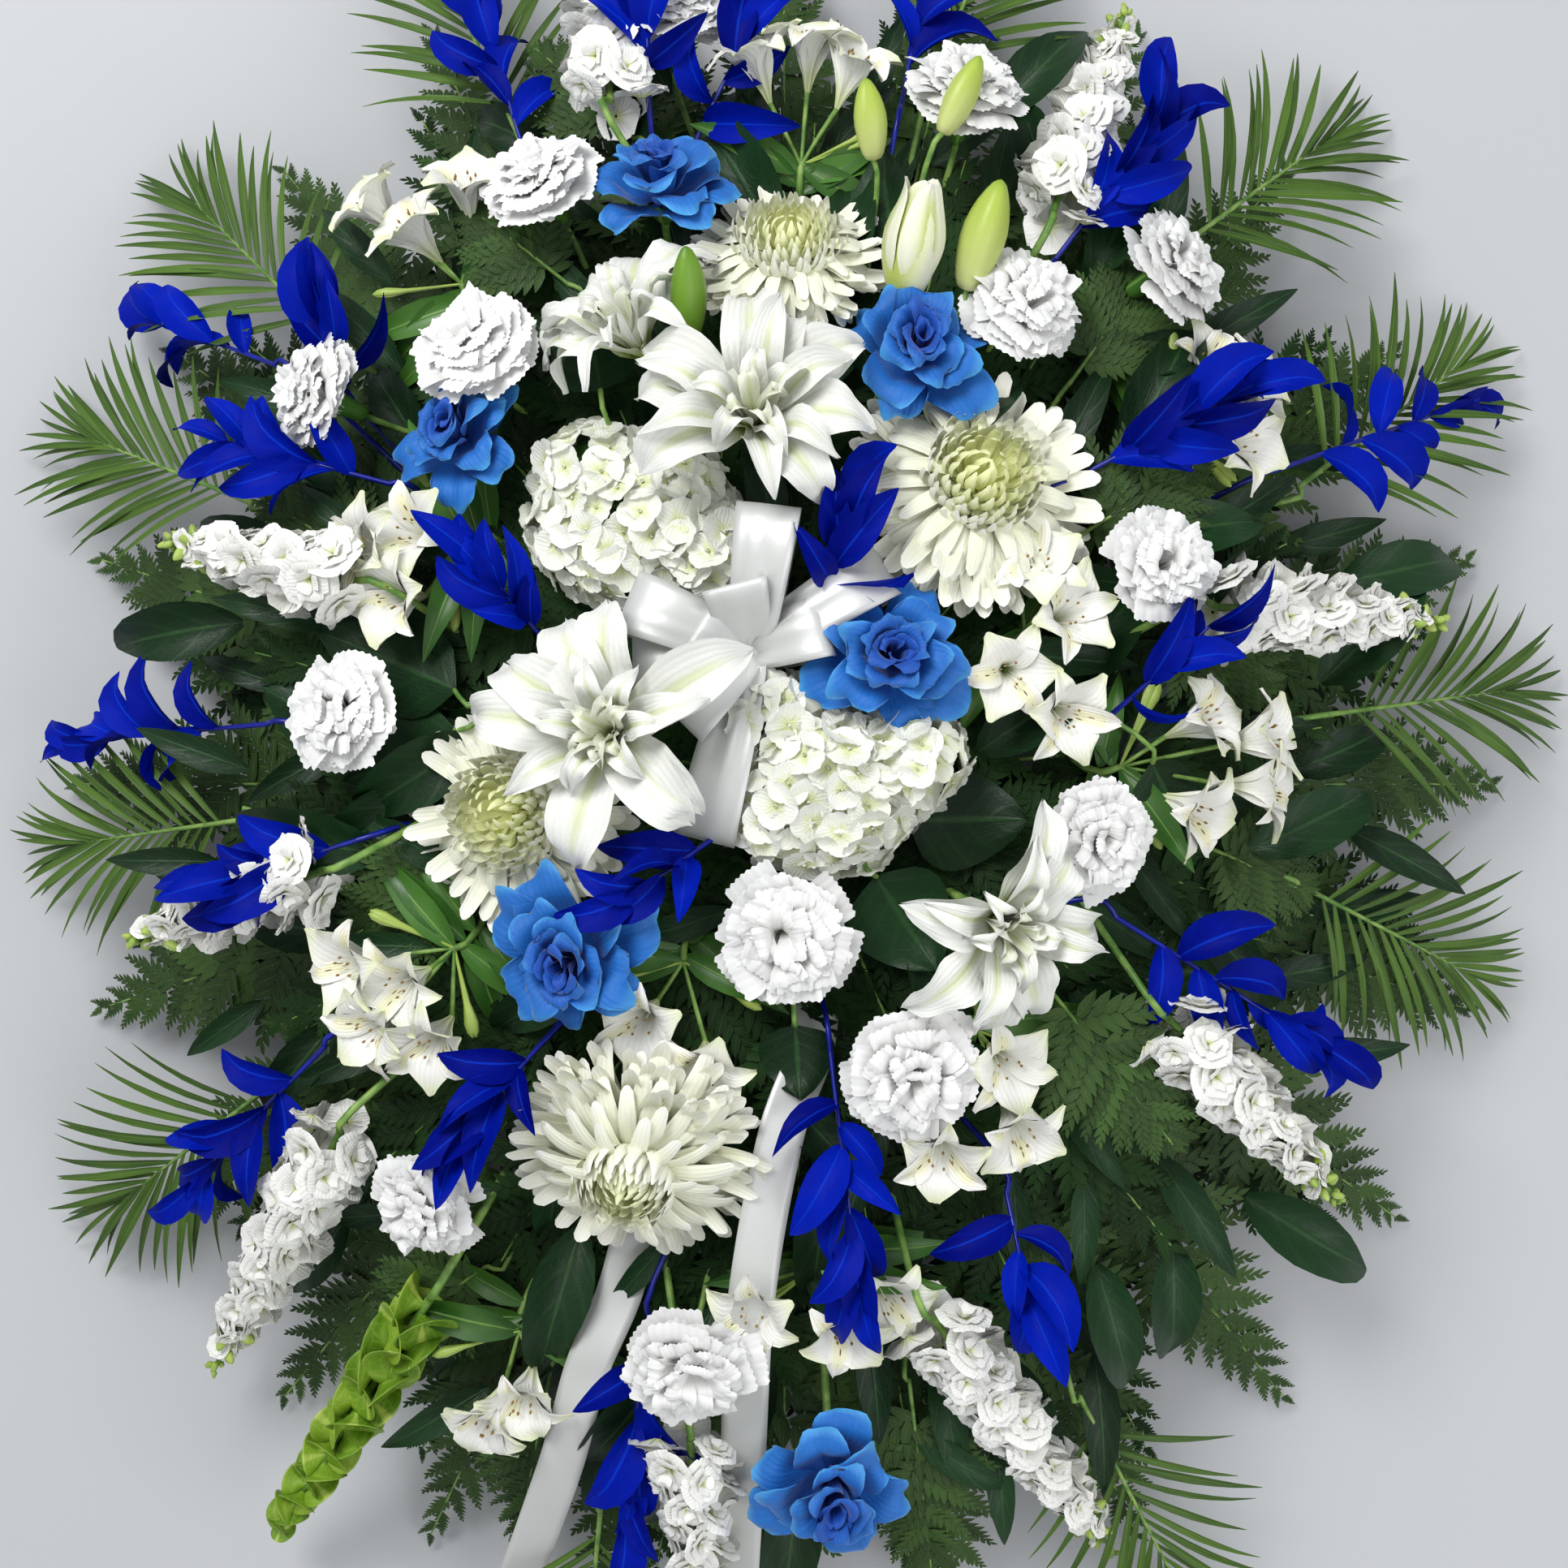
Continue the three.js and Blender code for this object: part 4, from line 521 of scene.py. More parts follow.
def leaf_paint(name, dark, body, rib, ribs=8.0, net=0.0, gloss=0.45, spread=0.5, depth=0.5, **constants):
    p = Paint(name, **constants)
    shade = p.number("shade")
    off = (p.across - 0.5).size()
    midrib = off.step(0.05, 0.012)
    slant = ((p.along - off * 0.55) * (ribs * 2 * math.pi)).sin() * 0.5 + 0.5
    lines = slant ** 6.0
    if net:
        cells = p.node("ShaderNodeTexVoronoi", {"feature": "DISTANCE_TO_EDGE"},
                       {"Vector": p.uv, "Scale": net}, "Distance")
        lines = lines.maths("MAXIMUM", lines, cells.step(0.10, 0.02) * 0.6)
    patches = p.noise(34.0, 3.0)
    base = p.mix((shade * 0.7 + patches * 0.6 - 0.25).step(0.0, 1.0), colour(dark), colour(body))
    base = p.mix(midrib * 0.75 + lines * (0.22 * spread), base, colour(rib))
    fine = p.noise(700.0, 2.0)
    return p.finish(base, gloss + 0.16 * (patches - 0.5), fine * 0.25 - lines * 0.5 - midrib, depth, 0.0006)


RUSCUS = leaf_paint("ruscus painted blue", "000a78", "0020b4", "0436c4", ribs=3.0, gloss=0.55, spread=0.2,
                    depth=0.4, Specular_IOR_Level=0.06)
FERN = leaf_paint("leather fern", "263f17", "3f5e27", "587236", ribs=5.0, gloss=0.55, Specular_IOR_Level=0.3)
# A darker copy of the fern paint, as painted shade on fronds that lie deep in the spray.
FERN_PAINTED_SHADE = leaf_paint("leather fern in shade", "13280d", "24451a", "35572a", ribs=5.0, gloss=0.65,
                       Specular_IOR_Level=0.2)
PALM = leaf_paint("palm leaflet", "34501a", "527427", "70903e", ribs=1.0, gloss=0.5, Specular_IOR_Level=0.3)
BROAD = leaf_paint("broad leaf", "0b2710", "173c1a", "2b5028", ribs=5.0, net=17.0, gloss=0.45, spread=0.8,
                   Specular_IOR_Level=0.3)
SOFT_LEAF = leaf_paint("soft green leaf", "2c591b", "4c802b", "769f4a", ribs=1.0, gloss=0.40)
BELL = leaf_paint("bells green", "5f8a14", "8fb22e", "b6cc5c", ribs=3.0, net=9.0, gloss=0.5, spread=1.5)
BUD = leaf_paint("bud green", "8fae3e", "b7cd62", "dde6a6", ribs=0.5, gloss=0.42, spread=0.5)
print("leaf paints made")

# %% Stems, foam, plastic, satin


def plain_paint(name, low, high, scale, gloss, depth, reach=0.0006, **constants):
    """A finish that is spread by chance: two colours and a grain at one scale."""
    p = Paint(name, **constants)
    grain = p.noise(scale, 4.0)
    return p.finish(p.mix(grain.step(0.3, 0.7), colour(low), colour(high)), gloss, grain, depth, reach)


STEM = plain_paint("green stem", "4d7a2e", "8db058", 90.0, 0.45, 0.2)
BLUE_STEM = plain_paint("painted stem", "000e7c", "001aa0", 90.0, 0.35, 0.2)
FOAM = plain_paint("wet flower foam", "14401f", "2a6b38", 620.0, 0.85, 0.9, 0.0012)
PLASTIC = plain_paint("moulded green plastic", "2a5631", "34653b", 180.0, 0.38, 0.08)
POLLEN = plain_paint("anthers", "7a5a28", "a98642", 800.0, 0.8, 0.5)


def satin_paint():
    """Satin: fine threads both ways, and a woven edge that stands up a little."""
    p = Paint("white satin", Specular_IOR_Level=1.0, IOR=2.0)
    threads = (p.along * 2600.0).sin() * 0.5 + 0.5
    cross = (p.across * 320.0).sin() * 0.5 + 0.5
    edge = (p.across - 0.5).size().step(0.462, 0.482)
    # Noise patches darken the satin towards a cool grey, painted shade of its sags; they also vary its gloss.
    sag = p.noise(22.0, 2.0)
    base = p.mix(edge * 0.35, colour("d4d5d2"), colour("bdbebb"))
    base = p.mix(sag * 0.12, base, colour("c6cace"))
    return p.finish(base, 0.40 + 0.14 * (sag - 0.5) + 0.05 * edge, threads * 0.5 + cross * 0.2 + edge * 0.6,
                    0.18, 0.0003)


SATIN = satin_paint()
print("paints in all:", len(bpy.data.materials))

# %% [markdown]
# ## Growing what repeats
# A chrysanthemum sets its petals by one turn of about 137.5 degrees after another, from the rim to
# the heart, and so do the florets of a hydrangea over its dome. Leaves follow a stem, side by side or
# in a spiral. Two Geometry Nodes trees do both, so a whole head is a few named numbers.

# %% The tree builder
KINDS = {"Object": "NodeSocketObject", "Material": "NodeSocketMaterial", "Int": "NodeSocketInt",
         "Vector": "NodeSocketVector", "Float": "NodeSocketFloat"}


class Growth(Build):
    def __init__(self, name, inputs):
        tree = bpy.data.node_groups.new(name, "GeometryNodeTree")
        super().__init__(tree)
        tree.interface.new_socket("Geometry", in_out="INPUT", socket_type="NodeSocketGeometry")
        for label, (kind, value) in inputs.items():
            socket = tree.interface.new_socket(label, in_out="INPUT", socket_type=KINDS[kind])
            if value is not None:
                socket.default_value = value
        tree.interface.new_socket("Geometry", in_out="OUTPUT", socket_type="NodeSocketGeometry")
        self.given = tree.nodes.new("NodeGroupInput")

    def take(self, label):
        return Val(self, self.given.outputs[label])

    def chance(self, low, high, seed):
        return self.node("FunctionNodeRandomValue", {"data_type": "FLOAT"},
                         {"Min": low, "Max": high, "Seed": seed})

    def jitter(self, rotation, tilt, spin, seed):
        """Turns each leaf a little about its own foot."""
        euler = self.node("ShaderNodeCombineXYZ", {}, {
            "X": self.chance(-1.0, 1.0, seed + 1) * tilt, "Y": self.chance(-1.0, 1.0, seed + 2) * tilt,
            "Z": self.chance(-1.0, 1.0, seed + 3) * spin})
        turn = self.node("FunctionNodeEulerToRotation", {}, {0: euler})
        return self.node("FunctionNodeRotateRotation", {"rotation_space": "LOCAL"}, {0: rotation, 1: turn})

    def aim(self, ahead, face):
        """A rotation that grows a leaf along ahead, with its upper side towards face."""
        first = self.node("FunctionNodeAlignRotationToVector", {"axis": "Z"}, {"Vector": ahead})
        return self.node("FunctionNodeAlignRotationToVector", {"axis": "X", "pivot_axis": "Z"},
                         {"Rotation": first, "Vector": face})

    def plant(self, points, rotation, scale, share, seed):
        leaf = self.node("GeometryNodeObjectInfo", {}, {"Object": self.take("Leaf")}, "Geometry")
        out = self.node("GeometryNodeInstanceOnPoints", {}, {
            "Points": points, "Instance": leaf, "Rotation": rotation, "Scale": scale})
        for label, value in (("layer", share), ("shade", self.chance(0.0, 1.0, seed + 4))):
            out = self.node("GeometryNodeStoreNamedAttribute", {"data_type": "FLOAT", "domain": "INSTANCE"},
                            {"Geometry": out, "Name": label, "Value": value})
        out = self.node("GeometryNodeRealizeInstances", {}, {0: out})
        out = self.node("GeometryNodeSetMaterial", {}, {"Geometry": out, "Material": self.take("Material")})
        end = self.tree.nodes.new("NodeGroupOutput")
        self.tree.links.new(out.socket, end.inputs[0])
        return self.tree


print("a tree takes:", ", ".join(KINDS))

# %% A head: petals by the golden turn


def head_tree():
    g = Growth("petals by the golden turn", {
        "Leaf": ("Object", None), "Material": ("Material", None), "Count": ("Int", 60),
        "Low": ("Float", 0.0), "High": ("Float", 1.4), "Reach": ("Vector", (1, 1, 1)),
        "Outer Size": ("Float", 1.0), "Inner Size": ("Float", 1.0), "Depth Change": ("Float", 0.0),
        "Size Change": ("Float", 0.1), "Tilt": ("Float", 0.1), "Spin": ("Float", 0.1), "Seed": ("Int", 1)})
    index = g.node("GeometryNodeInputIndex", {}, {})
    share = index / g.take("Count")
    low, high = g.take("Low").sin(), g.take("High").sin()
    rise = low + (high - low) * share
    flat = (1.0 - rise * rise).root()
    angle = index * GOLDEN
    way = g.node("ShaderNodeCombineXYZ", {}, {"X": flat * angle.cos(), "Y": flat * angle.sin(), "Z": rise})
    deep = 1.0 - g.chance(0.0, 1.0, g.take("Seed") + 9) * g.take("Depth Change")
    place = g.vector("SCALE", g.vector("MULTIPLY", way, g.take("Reach")), deep)
    points = g.node("GeometryNodePoints", {}, {"Count": g.take("Count"), "Position": place})
    out = g.vector("NORMALIZE", g.vector("DIVIDE", way, g.take("Reach")))
    rotation = g.jitter(g.aim(out, (0, 0, 1)), g.take("Tilt"), g.take("Spin"), g.take("Seed"))
    grow = g.take("Outer Size") + (g.take("Inner Size") - g.take("Outer Size")) * share
    vary = 1.0 + g.chance(-1.0, 1.0, g.take("Seed")) * g.take("Size Change")
    return g.plant(points, rotation, grow * vary, share, g.take("Seed"))


HEAD = head_tree()
print("head tree:", len(HEAD.nodes), "nodes")

# %% A sprig: leaves along a stem


def sprig_tree():
    g = Growth("leaves along a stem", {
        "Leaf": ("Object", None), "Material": ("Material", None), "Count": ("Int", 12),
        "First": ("Float", 0.0), "Turn": ("Float", math.pi), "Face": ("Vector", (0, 0, 1)),
        "Base Angle": ("Float", 0.9), "Tip Angle": ("Float", 0.5), "Raise": ("Float", 0.0),
        "Base Size": ("Float", 1.0), "Middle Size": ("Float", 1.0), "Tip Size": ("Float", 0.5),
        "Base Radius": ("Float", 0.0), "Tip Radius": ("Float", 0.0),
        "Size Change": ("Float", 0.1), "Tilt": ("Float", 0.1), "Spin": ("Float", 0.1), "Seed": ("Int", 1)})
    line = g.node("GeometryNodeMeshToCurve", {}, {0: g.take("Geometry")})
    # Trim Curve has two sockets called Start and two called End, so they are set by number.
    line = g.node("GeometryNodeTrimCurve", {"mode": "FACTOR"}, {0: line, 2: g.take("First"), 3: 1.0})
    line = g.node("GeometryNodeResampleCurve", {"mode": "COUNT"}, {"Curve": line, "Count": g.take("Count")})
    index = g.node("GeometryNodeInputIndex", {}, {})
    share = index / (g.take("Count") - 1.0)
    ahead = g.node("GeometryNodeInputTangent", {}, {})
    side = g.vector("NORMALIZE", g.vector("CROSS_PRODUCT", ahead, g.take("Face")))
    face = g.vector("CROSS_PRODUCT", side, ahead)
    angle = index * g.take("Turn")
    away = g.vector("ADD", g.vector("SCALE", side, angle.cos()), g.vector("SCALE", face, angle.sin()))
    lean = g.take("Base Angle") + (g.take("Tip Angle") - g.take("Base Angle")) * share
    way = g.vector("ADD", g.vector("SCALE", ahead, lean.cos()), g.vector("SCALE", away, lean.sin()))
    way = g.vector("ADD", way, g.vector("SCALE", face, g.take("Raise")))
    rotation = g.jitter(g.aim(way, face), g.take("Tilt"), g.take("Spin"), g.take("Seed"))
    radius = g.take("Base Radius") + (g.take("Tip Radius") - g.take("Base Radius")) * share
    line = g.node("GeometryNodeSetPosition", {}, {
        "Geometry": line, "Offset": g.vector("SCALE", away, radius)})
    near, middle, far = g.take("Base Size"), g.take("Middle Size"), g.take("Tip Size")
    # One parabola runs through the three sizes, at the foot, the middle and the tip.
    grow = near * (1.0 - share) * (1.0 - 2.0 * share) + middle * 4.0 * share * (1.0 - share)
    grow = grow + far * share * (2.0 * share - 1.0)
    vary = 1.0 + g.chance(-1.0, 1.0, g.take("Seed")) * g.take("Size Change")
    return g.plant(line, rotation, grow * vary, share, g.take("Seed"))


SPRIG = sprig_tree()
print("sprig tree:", len(SPRIG.nodes), "nodes")

# %% Run a tree and read back its plain mesh


def line_mesh(points):
    mesh = bpy.data.meshes.new("stem line")
    mesh.from_pydata([tuple(p) for p in points], [(i, i + 1) for i in range(len(points) - 1)], [])
    return mesh


def grow(tree, path=None, **values):
    """Runs a growing tree on a path and gives its result as plain arrays."""
    mesh = line_mesh(path) if path is not None else bpy.data.meshes.new("nothing yet")
    holder = bpy.data.objects.new("growing", mesh)
    scene.collection.objects.link(holder)
    modifier = holder.modifiers.new("grow", "NODES")
    modifier.node_group = tree
    for item in tree.interface.items_tree:
        label = item.name.replace(" ", "_")
        if item.in_out == "INPUT" and label in values:
            modifier[item.identifier] = values[label]
    graph = bpy.context.evaluated_depsgraph_get()
    made = bpy.data.meshes.new_from_object(holder.evaluated_get(graph), preserve_all_data_layers=True,
                                           depsgraph=graph)
    points = np.empty(len(made.vertices) * 3, np.float32)
    loops = np.empty(len(made.loops), np.int32)
    sizes = np.empty(len(made.polygons), np.int32)
    corner_uv = np.empty(len(made.loops) * 2, np.float32)
    made.vertices.foreach_get("co", points)
    made.loops.foreach_get("vertex_index", loops)
    made.polygons.foreach_get("loop_total", sizes)
    made.attributes["UVMap"].data.foreach_get("vector", corner_uv)
    data = {"points": points.reshape(-1, 3).astype(float), "loops": loops, "sizes": sizes}
    data["uv"] = np.zeros((len(made.vertices), 2))
    data["uv"][loops] = corner_uv.reshape(-1, 2)
    for label in ("layer", "shade"):
        data[label] = np.empty(len(made.vertices), np.float32)
        made.attributes[label].data.foreach_get("value", data[label])
    bpy.data.objects.remove(holder)
    bpy.data.meshes.remove(mesh)
    bpy.data.meshes.remove(made)
    return data


print("sockets of the trees:", len(HEAD.interface.items_tree), "and", len(SPRIG.interface.items_tree))

# %% [markdown]
# ## Seed leaves and petals
# The trees plant copies of a few small shapes. Each has its foot at the origin, grows along Z and
# shows its upper side towards X. They are removed once everything has grown.

# %% Small shapes to plant
seed_shapes = []


def upright(points):
    """Turns a petal that lies outwards into one that grows along Z and faces X."""
    return np.stack([points[..., 2], -points[..., 1], points[..., 0]], -1)


def seed_shape(name, bag):
    mesh = bag.mesh(name)
    for label in ("layer", "shade"):
        mesh.attributes.remove(mesh.attributes[label])
    shape = bpy.data.objects.new(name, mesh)
    scene.collection.objects.link(shape)
    seed_shapes.append(shape)
    return shape


def single(name, grid, paint):
    bag = Bag()
    bag.grid(upright(grid), paint)
    return seed_shape(name, bag)


def rosette(name, layers, paint):
    """A small open flower that faces along Z, from rings of (count, line, widths, extras)."""
    bag = Bag()
    for k, (count, line, widths, extras) in enumerate(layers):
        for i in range(count):
            skin = petal(line, widths, **{**extras, "phase": 1.7 * i + k})
            bag.grid(skin @ about_z(360 / count * (i + 0.37 * k)).T, paint)
    return seed_shape(name, bag)


LONG_PETAL = single("long petal", petal(
    [(0, 0), (0.34, 0.0), (0.7, 0.0), (1, 0.07)],
    [0.04, 0.066, 0.082, 0.088, 0.066], rows=7, cols=4, cup=0.38, rim=0.09), MUM)
ARCHED_PETAL = single("arched petal", petal(
    [(0, 0), (0.34, 0.06), (0.66, -0.02), (0.88, -0.20), (0.99, -0.40)],
    [0.04, 0.075, 0.095, 0.10, 0.07], rows=7, cols=4, cup=-0.22, rim=0.10), MUM)
HOOKED_PETAL = single("hooked petal", petal(
    [(0, 0), (0.40, -0.16), (0.78, -0.12), (1.0, 0.08), (1.04, 0.30)],
    [0.05, 0.10, 0.13, 0.115, 0.05], rows=7, cols=4, cup=0.5, rim=0.12), MUM)
RUSCUS_LEAF = single("ruscus leaf", petal(
    [(0, 0), (0.3, 0.11), (0.7, 0.08), (1, -0.20)],
    [0.03, 0.14, 0.20, 0.17, 0.09, 0.005], rows=9, cols=4, cup=0.6, twist=0.8), RUSCUS)
GREEN_LEAF = single("soft leaf", petal(
    [(0, 0), (0.3, 0.08), (0.7, 0.08), (1, -0.08)],
    [0.02, 0.10, 0.13, 0.10, 0.05, 0.004], rows=8, cols=4, cup=0.4, twist=0.2), SOFT_LEAF)
PALM_LEAF = single("palm leaflet", petal(
    [(0, 0), (0.4, 0.03), (0.75, 0.0), (1, -0.06)],
    [0.010, 0.024, 0.028, 0.021, 0.011, 0.002], rows=7, cols=2, cup=0.5), PALM)
LOBE = single("fern lobe", petal(
    [(0, 0), (0.5, 0.03), (1, -0.05)], [0.10, 0.21, 0.15, 0.02], rows=3, cols=2, cup=0.25), FERN)
print("petals and leaves to plant:", len(seed_shapes))

# %% [markdown]
# The florets of hydrangea and stock are small rosettes. A hydrangea floret has four broad lobes
# round a tiny eye, and a stock floret three rings of ruffled ones, one inside the other.

# %% Small florets to plant
FLORET = rosette("hydrangea floret", [
    (4, [(0.3, 0), (4.5, 0.6), (8.4, 1.6), (11.6, 2.4)], [0.8, 4.6, 6.8, 6.8, 4.0],
     {"rows": 5, "cols": 4, "cup": 0.14, "ruffle": 0.7, "folds": 1.5, "rim": 0.12}),
    (5, [(0.2, 0.6), (0.9, 1.4), (0.3, 2.2)], [0.3, 0.6, 0.3], {"rows": 2, "cols": 1})], HYDRANGEA)
STOCK_FLORET = rosette("stock floret", [
    (5, [(1, 0), (6, 3), (11, 4.5), (16, 3)], [1.2, 6, 10, 9],
     {"rows": 4, "cols": 4, "ruffle": 1.3, "rim": 0.12}),
    (4, [(1, 1), (4, 4), (8, 6.5), (11, 6)], [1.2, 5, 7.5, 6.5],
     {"rows": 3, "cols": 4, "ruffle": 0.6, "rim": 0.1}),
    (3, [(0.5, 2), (2, 5), (4, 8), (6, 8)], [1, 3.5, 4.5, 4], {"rows": 2, "cols": 4, "ruffle": 0.5})], STOCK)
print("small shapes:", len(seed_shapes))

# %% [markdown]
# Buds and bells are round, so each is an outline turned about its axis. A fern's side branch is grown
# by the sprig tree from small lobes, and a frond is then a sprig of such branches.

# %% Round buds, bells, and one side branch of a fern


def turned_shape(profile, around=10, waves=0, depth=0.0):
    """A closed round skin from (radius, height) pairs, its rim waved if asked."""
    line = along(profile, np.linspace(0, 1, 2 * len(profile)))
    angle = np.linspace(0, 2 * math.pi, around, endpoint=False)
    share = np.linspace(0, 1, len(line))[:, None] ** 2
    radius = line[:, :1] * (1 + depth * share * np.cos(waves * angle))
    return np.stack([radius * np.cos(angle), radius * np.sin(angle),
                     np.repeat(line[:, 1:], around, 1)], -1)[:, ::-1]


def round_shape(name, profile, paint, **extras):
    bag = Bag()
    bag.grid(turned_shape(profile, **extras), paint, closed=True)
    return seed_shape(name, bag)


GREEN_BUD = round_shape("small bud", [(0.02, 0), (2.6, 2), (3.0, 5), (1.8, 8.5), (0.05, 10)], BUD, around=7)
BELL_OUTSIDE = [(1.5, 0), (5, 5), (11, 9), (16, 11)]
BELL_INSIDE = [(15.6, 11.6), (10, 9), (3, 5.4), (0.05, 5)]
BELL_SHAPE = round_shape("bell", BELL_OUTSIDE + BELL_INSIDE, BELL, around=20, waves=5, depth=0.06)
branch = grow(SPRIG, [(0, 0, 0), (0, 0, 0.5), (-0.03, 0, 1)], Leaf=LOBE, Material=FERN, Count=16,
              Face=(1, 0, 0), Base_Angle=1.0, Tip_Angle=0.35, Base_Size=0.33, Middle_Size=0.27,
              Tip_Size=0.12, Size_Change=0.05, Tilt=0.08, Spin=0.08, Seed=3)
bag = Bag()
bag.shape(branch, FERN)
BRANCH = seed_shape("fern branch", bag)
print("a fern branch has", len(branch["sizes"]), "faces")

# %% [markdown]
# ## Stems into the foam
# Everything visible is held by a stem that ends in the foam. Flowers of one group come from one
# place: above the foam the stem goes into its top, and further out it goes into the nearest side.

# %% Roots in the foam
FOAM_X, FOAM_Y, FOAM_TOP, FOAM_EDGE = 0.095, 0.140, 0.092, 0.012
ROOT_DEEP, ROOT_OUT, ROOT_GAP, ROOT_PULL = 0.034, 0.016, 0.0026, 0.62
# A flower within so many half sizes of the foam is rooted in its top, and the others in its sides,
# between two heights, and drawn in from the corners.
OVER_FOAM, WALL_LOW, WALL_HIGH, WALL_PULL = 1.5, 0.033, 0.080, 0.8
STRAIGHT_END = 0.02
roots = {}


def root_at(spot, shift=0):
    """The mouth of a stem's hole in the foam and the stem's end, for a flower at a spot."""
    off = ROOT_GAP * math.sqrt(shift) * np.array([math.cos(shift * GOLDEN), math.sin(shift * GOLDEN)])
    if max(abs(spot[0]) / FOAM_X, abs(spot[1]) / FOAM_Y) < OVER_FOAM and spot[2] > FOAM_TOP:
        x, y = (np.clip(spot[k] * ROOT_PULL + off[k], -half + FOAM_EDGE, half - FOAM_EDGE)
                for k, half in ((0, FOAM_X), (1, FOAM_Y)))
        return np.array([x, y, FOAM_TOP + ROOT_OUT]), np.array([x * 0.94, y * 0.94, FOAM_TOP - ROOT_DEEP])
    out = unit([spot[0], spot[1], 0])
    if abs(spot[0]) / FOAM_X > abs(spot[1]) / FOAM_Y:
        beside = spot[1] / abs(spot[0]) * FOAM_X * WALL_PULL + off[0]
        wall = np.array([math.copysign(FOAM_X, spot[0]), beside, 0])
    else:
        beside = spot[0] / abs(spot[1]) * FOAM_Y * WALL_PULL + off[0]
        wall = np.array([beside, math.copysign(FOAM_Y, spot[1]), 0])
    wall[:2] = np.clip(wall[:2], (-FOAM_X, -FOAM_Y), (FOAM_X, FOAM_Y))
    wall[2] = np.clip(0.25 * spot[2] + 0.030 + off[1] * 0.7, WALL_LOW, WALL_HIGH)
    return wall + out * ROOT_OUT, wall - out * ROOT_DEEP


print("a bloom at the top is rooted at", root_at(np.array([0.0, 0.0, 0.2]))[1].round(3))

# %% Stems, and the place of a bloom


def add_stem(bag, node, foot, radius=0.0017, axis=None, paint=STEM, beside=0):
    """A stem from the foam to a flower's foot; one root serves all the stems of a group."""
    if node not in roots:
        roots[node] = root_at(foot, len(roots) % 9)
    mouth, end = roots[node]
    ahead = foot - unit(axis) * STRAIGHT_END if axis is not None else foot + (mouth - foot) * 0.1
    sag = np.array([0, 0, 0.004 * math.cos(beside)])
    path = line_through([end, mouth, mouth + (ahead - mouth) * 0.5 + sag, ahead, foot], 12)
    bag.grid(tube(path, [radius * 1.15, radius]), paint, shade=0.5, closed=True)


bags = {}


def bag_for(node):
    return bags.setdefault(node, Bag())


def bloom_place(node, seen, lift, tilt, below):
    """A bloom's bag, its axis, and the base of its petals, some millimetres below its face."""
    spot = on_dome(seen, lift)
    axis = facing(spot, tilt)
    base = spot - axis * below * MM
    return bag_for(node), axis, base, stand(base, axis, seen[0])


print("the foam is", 2 * FOAM_X, "x", 2 * FOAM_Y, "m")


# %% [markdown]
# ## The blooms
# ### Carnations
# A carnation is a ball of fan-shaped petals with a toothed rim, crumpled more and more towards the
# middle, held by a green tube, the calyx. The petals stand by the golden turn, and each is then
# turned a little about its own rim, because rings of equal petals would look like a rosette.

# %% One carnation
FANS, BALL_HIGH, GUARD_FROM = 44, 30, 0.74
# The guard petals at the rim are wide, calm and uneven in length, and the inner ones crumpled.
GUARD = {"reach": (0.86, 1.10), "wide": (13, 17), "ruffle": (0.6, 1.0)}
INNER = {"reach": (0.94, 1.05), "wide": (9, 12), "ruffle": (0.9, 1.5)}


def carnation(bag, at, radius, rng):
    for k in range(FANS):
        share = math.sqrt((k + 0.5) / FANS)
        kind = GUARD if share > GUARD_FROM else INNER
        out = radius * (0.02 + 0.98 * share) * rng.uniform(*kind["reach"])
        high = BALL_HIGH * math.sqrt(max(0.0, 1 - (0.98 * share) ** 2)) + rng.uniform(-2.5, 2.5) + 1
        line = [(1, -3), (out * 0.42, high * 0.6), (out * 0.78, high * 0.98), (out + 4, high - 2)]
        wide = rng.uniform(*kind["wide"]) * (1 if kind is GUARD else 0.7 + 0.4 * share)
        skin = petal(line, [1.2, wide * 0.55, wide, wide * 1.1], rows=7, cols=16, rim=rng.uniform(0.04, 0.14),
                     ruffle=rng.uniform(*kind["ruffle"]), folds=rng.uniform(1.1, 2.0),
                     phase=rng.uniform(0, 6.28), fringe=0.045, twist=rng.uniform(-0.3, 0.3),
                     cup=rng.uniform(-0.2, 0.2))
        centre = np.array([out * 0.9, 0, 0])
        aside = np.array([rng.uniform(-1, 1), rng.uniform(-1, 1), 0]) * 6 * (1 - share)
        skin = (skin - centre) @ about_z(rng.uniform(-60, 60) * (1.1 - share)).T + centre + aside
        bag.grid(skin, CARNATION, 1 - share, rng.uniform(), at, math.degrees(k * GOLDEN) + rng.uniform(-9, 9))
    cup = turned_shape([(1.8, -22), (5, -18), (6.2, -8), (7.5, 0)], around=10)
    bag.grid(cup, SOFT_LEAF, 0, 0.6, at, closed=True)


print("a carnation has", FANS, "petals")

# %% All the carnations
# Each row: the group, the place in the picture, the width and the lift in millimetres, and the tilt.
CARNATIONS = [
    ("carnations_1", (662, 220), 66, 4, (-0.25, 0.3)), ("carnations_1", (581, 423), 68, 13, (0, 0.15)),
    ("carnations_1", (384, 483), 62, 2, (-0.7, 0.1)), ("carnations_2", (415, 876), 66, 4, (0, 0)),
    ("carnations_2", (521, 1487), 62, 8, (-0.1, -0.1)), ("carnations_3", (1191, 105), 68, 6, (0, 0.4)),
    ("carnations_3", (824, 14), 68, -6, (0, 0.4)), ("carnations_4", (1263, 370), 64, 2, (0.1, 0)),
    ("carnations_4", (1452, 325), 64, 4, (0.7, 0.1)), ("carnations_5", (1435, 694), 60, 8, (0, 0)),
    ("carnations_5", (1356, 1035), 62, 4, (0.1, -0.1)), ("carnations_6", (966, 1158), 76, 2, (0, 0)),
    ("carnations_6", (1127, 1326), 76, 6, (0, 0)), ("carnations_6", (850, 1688), 76, 12, (0, 0))]
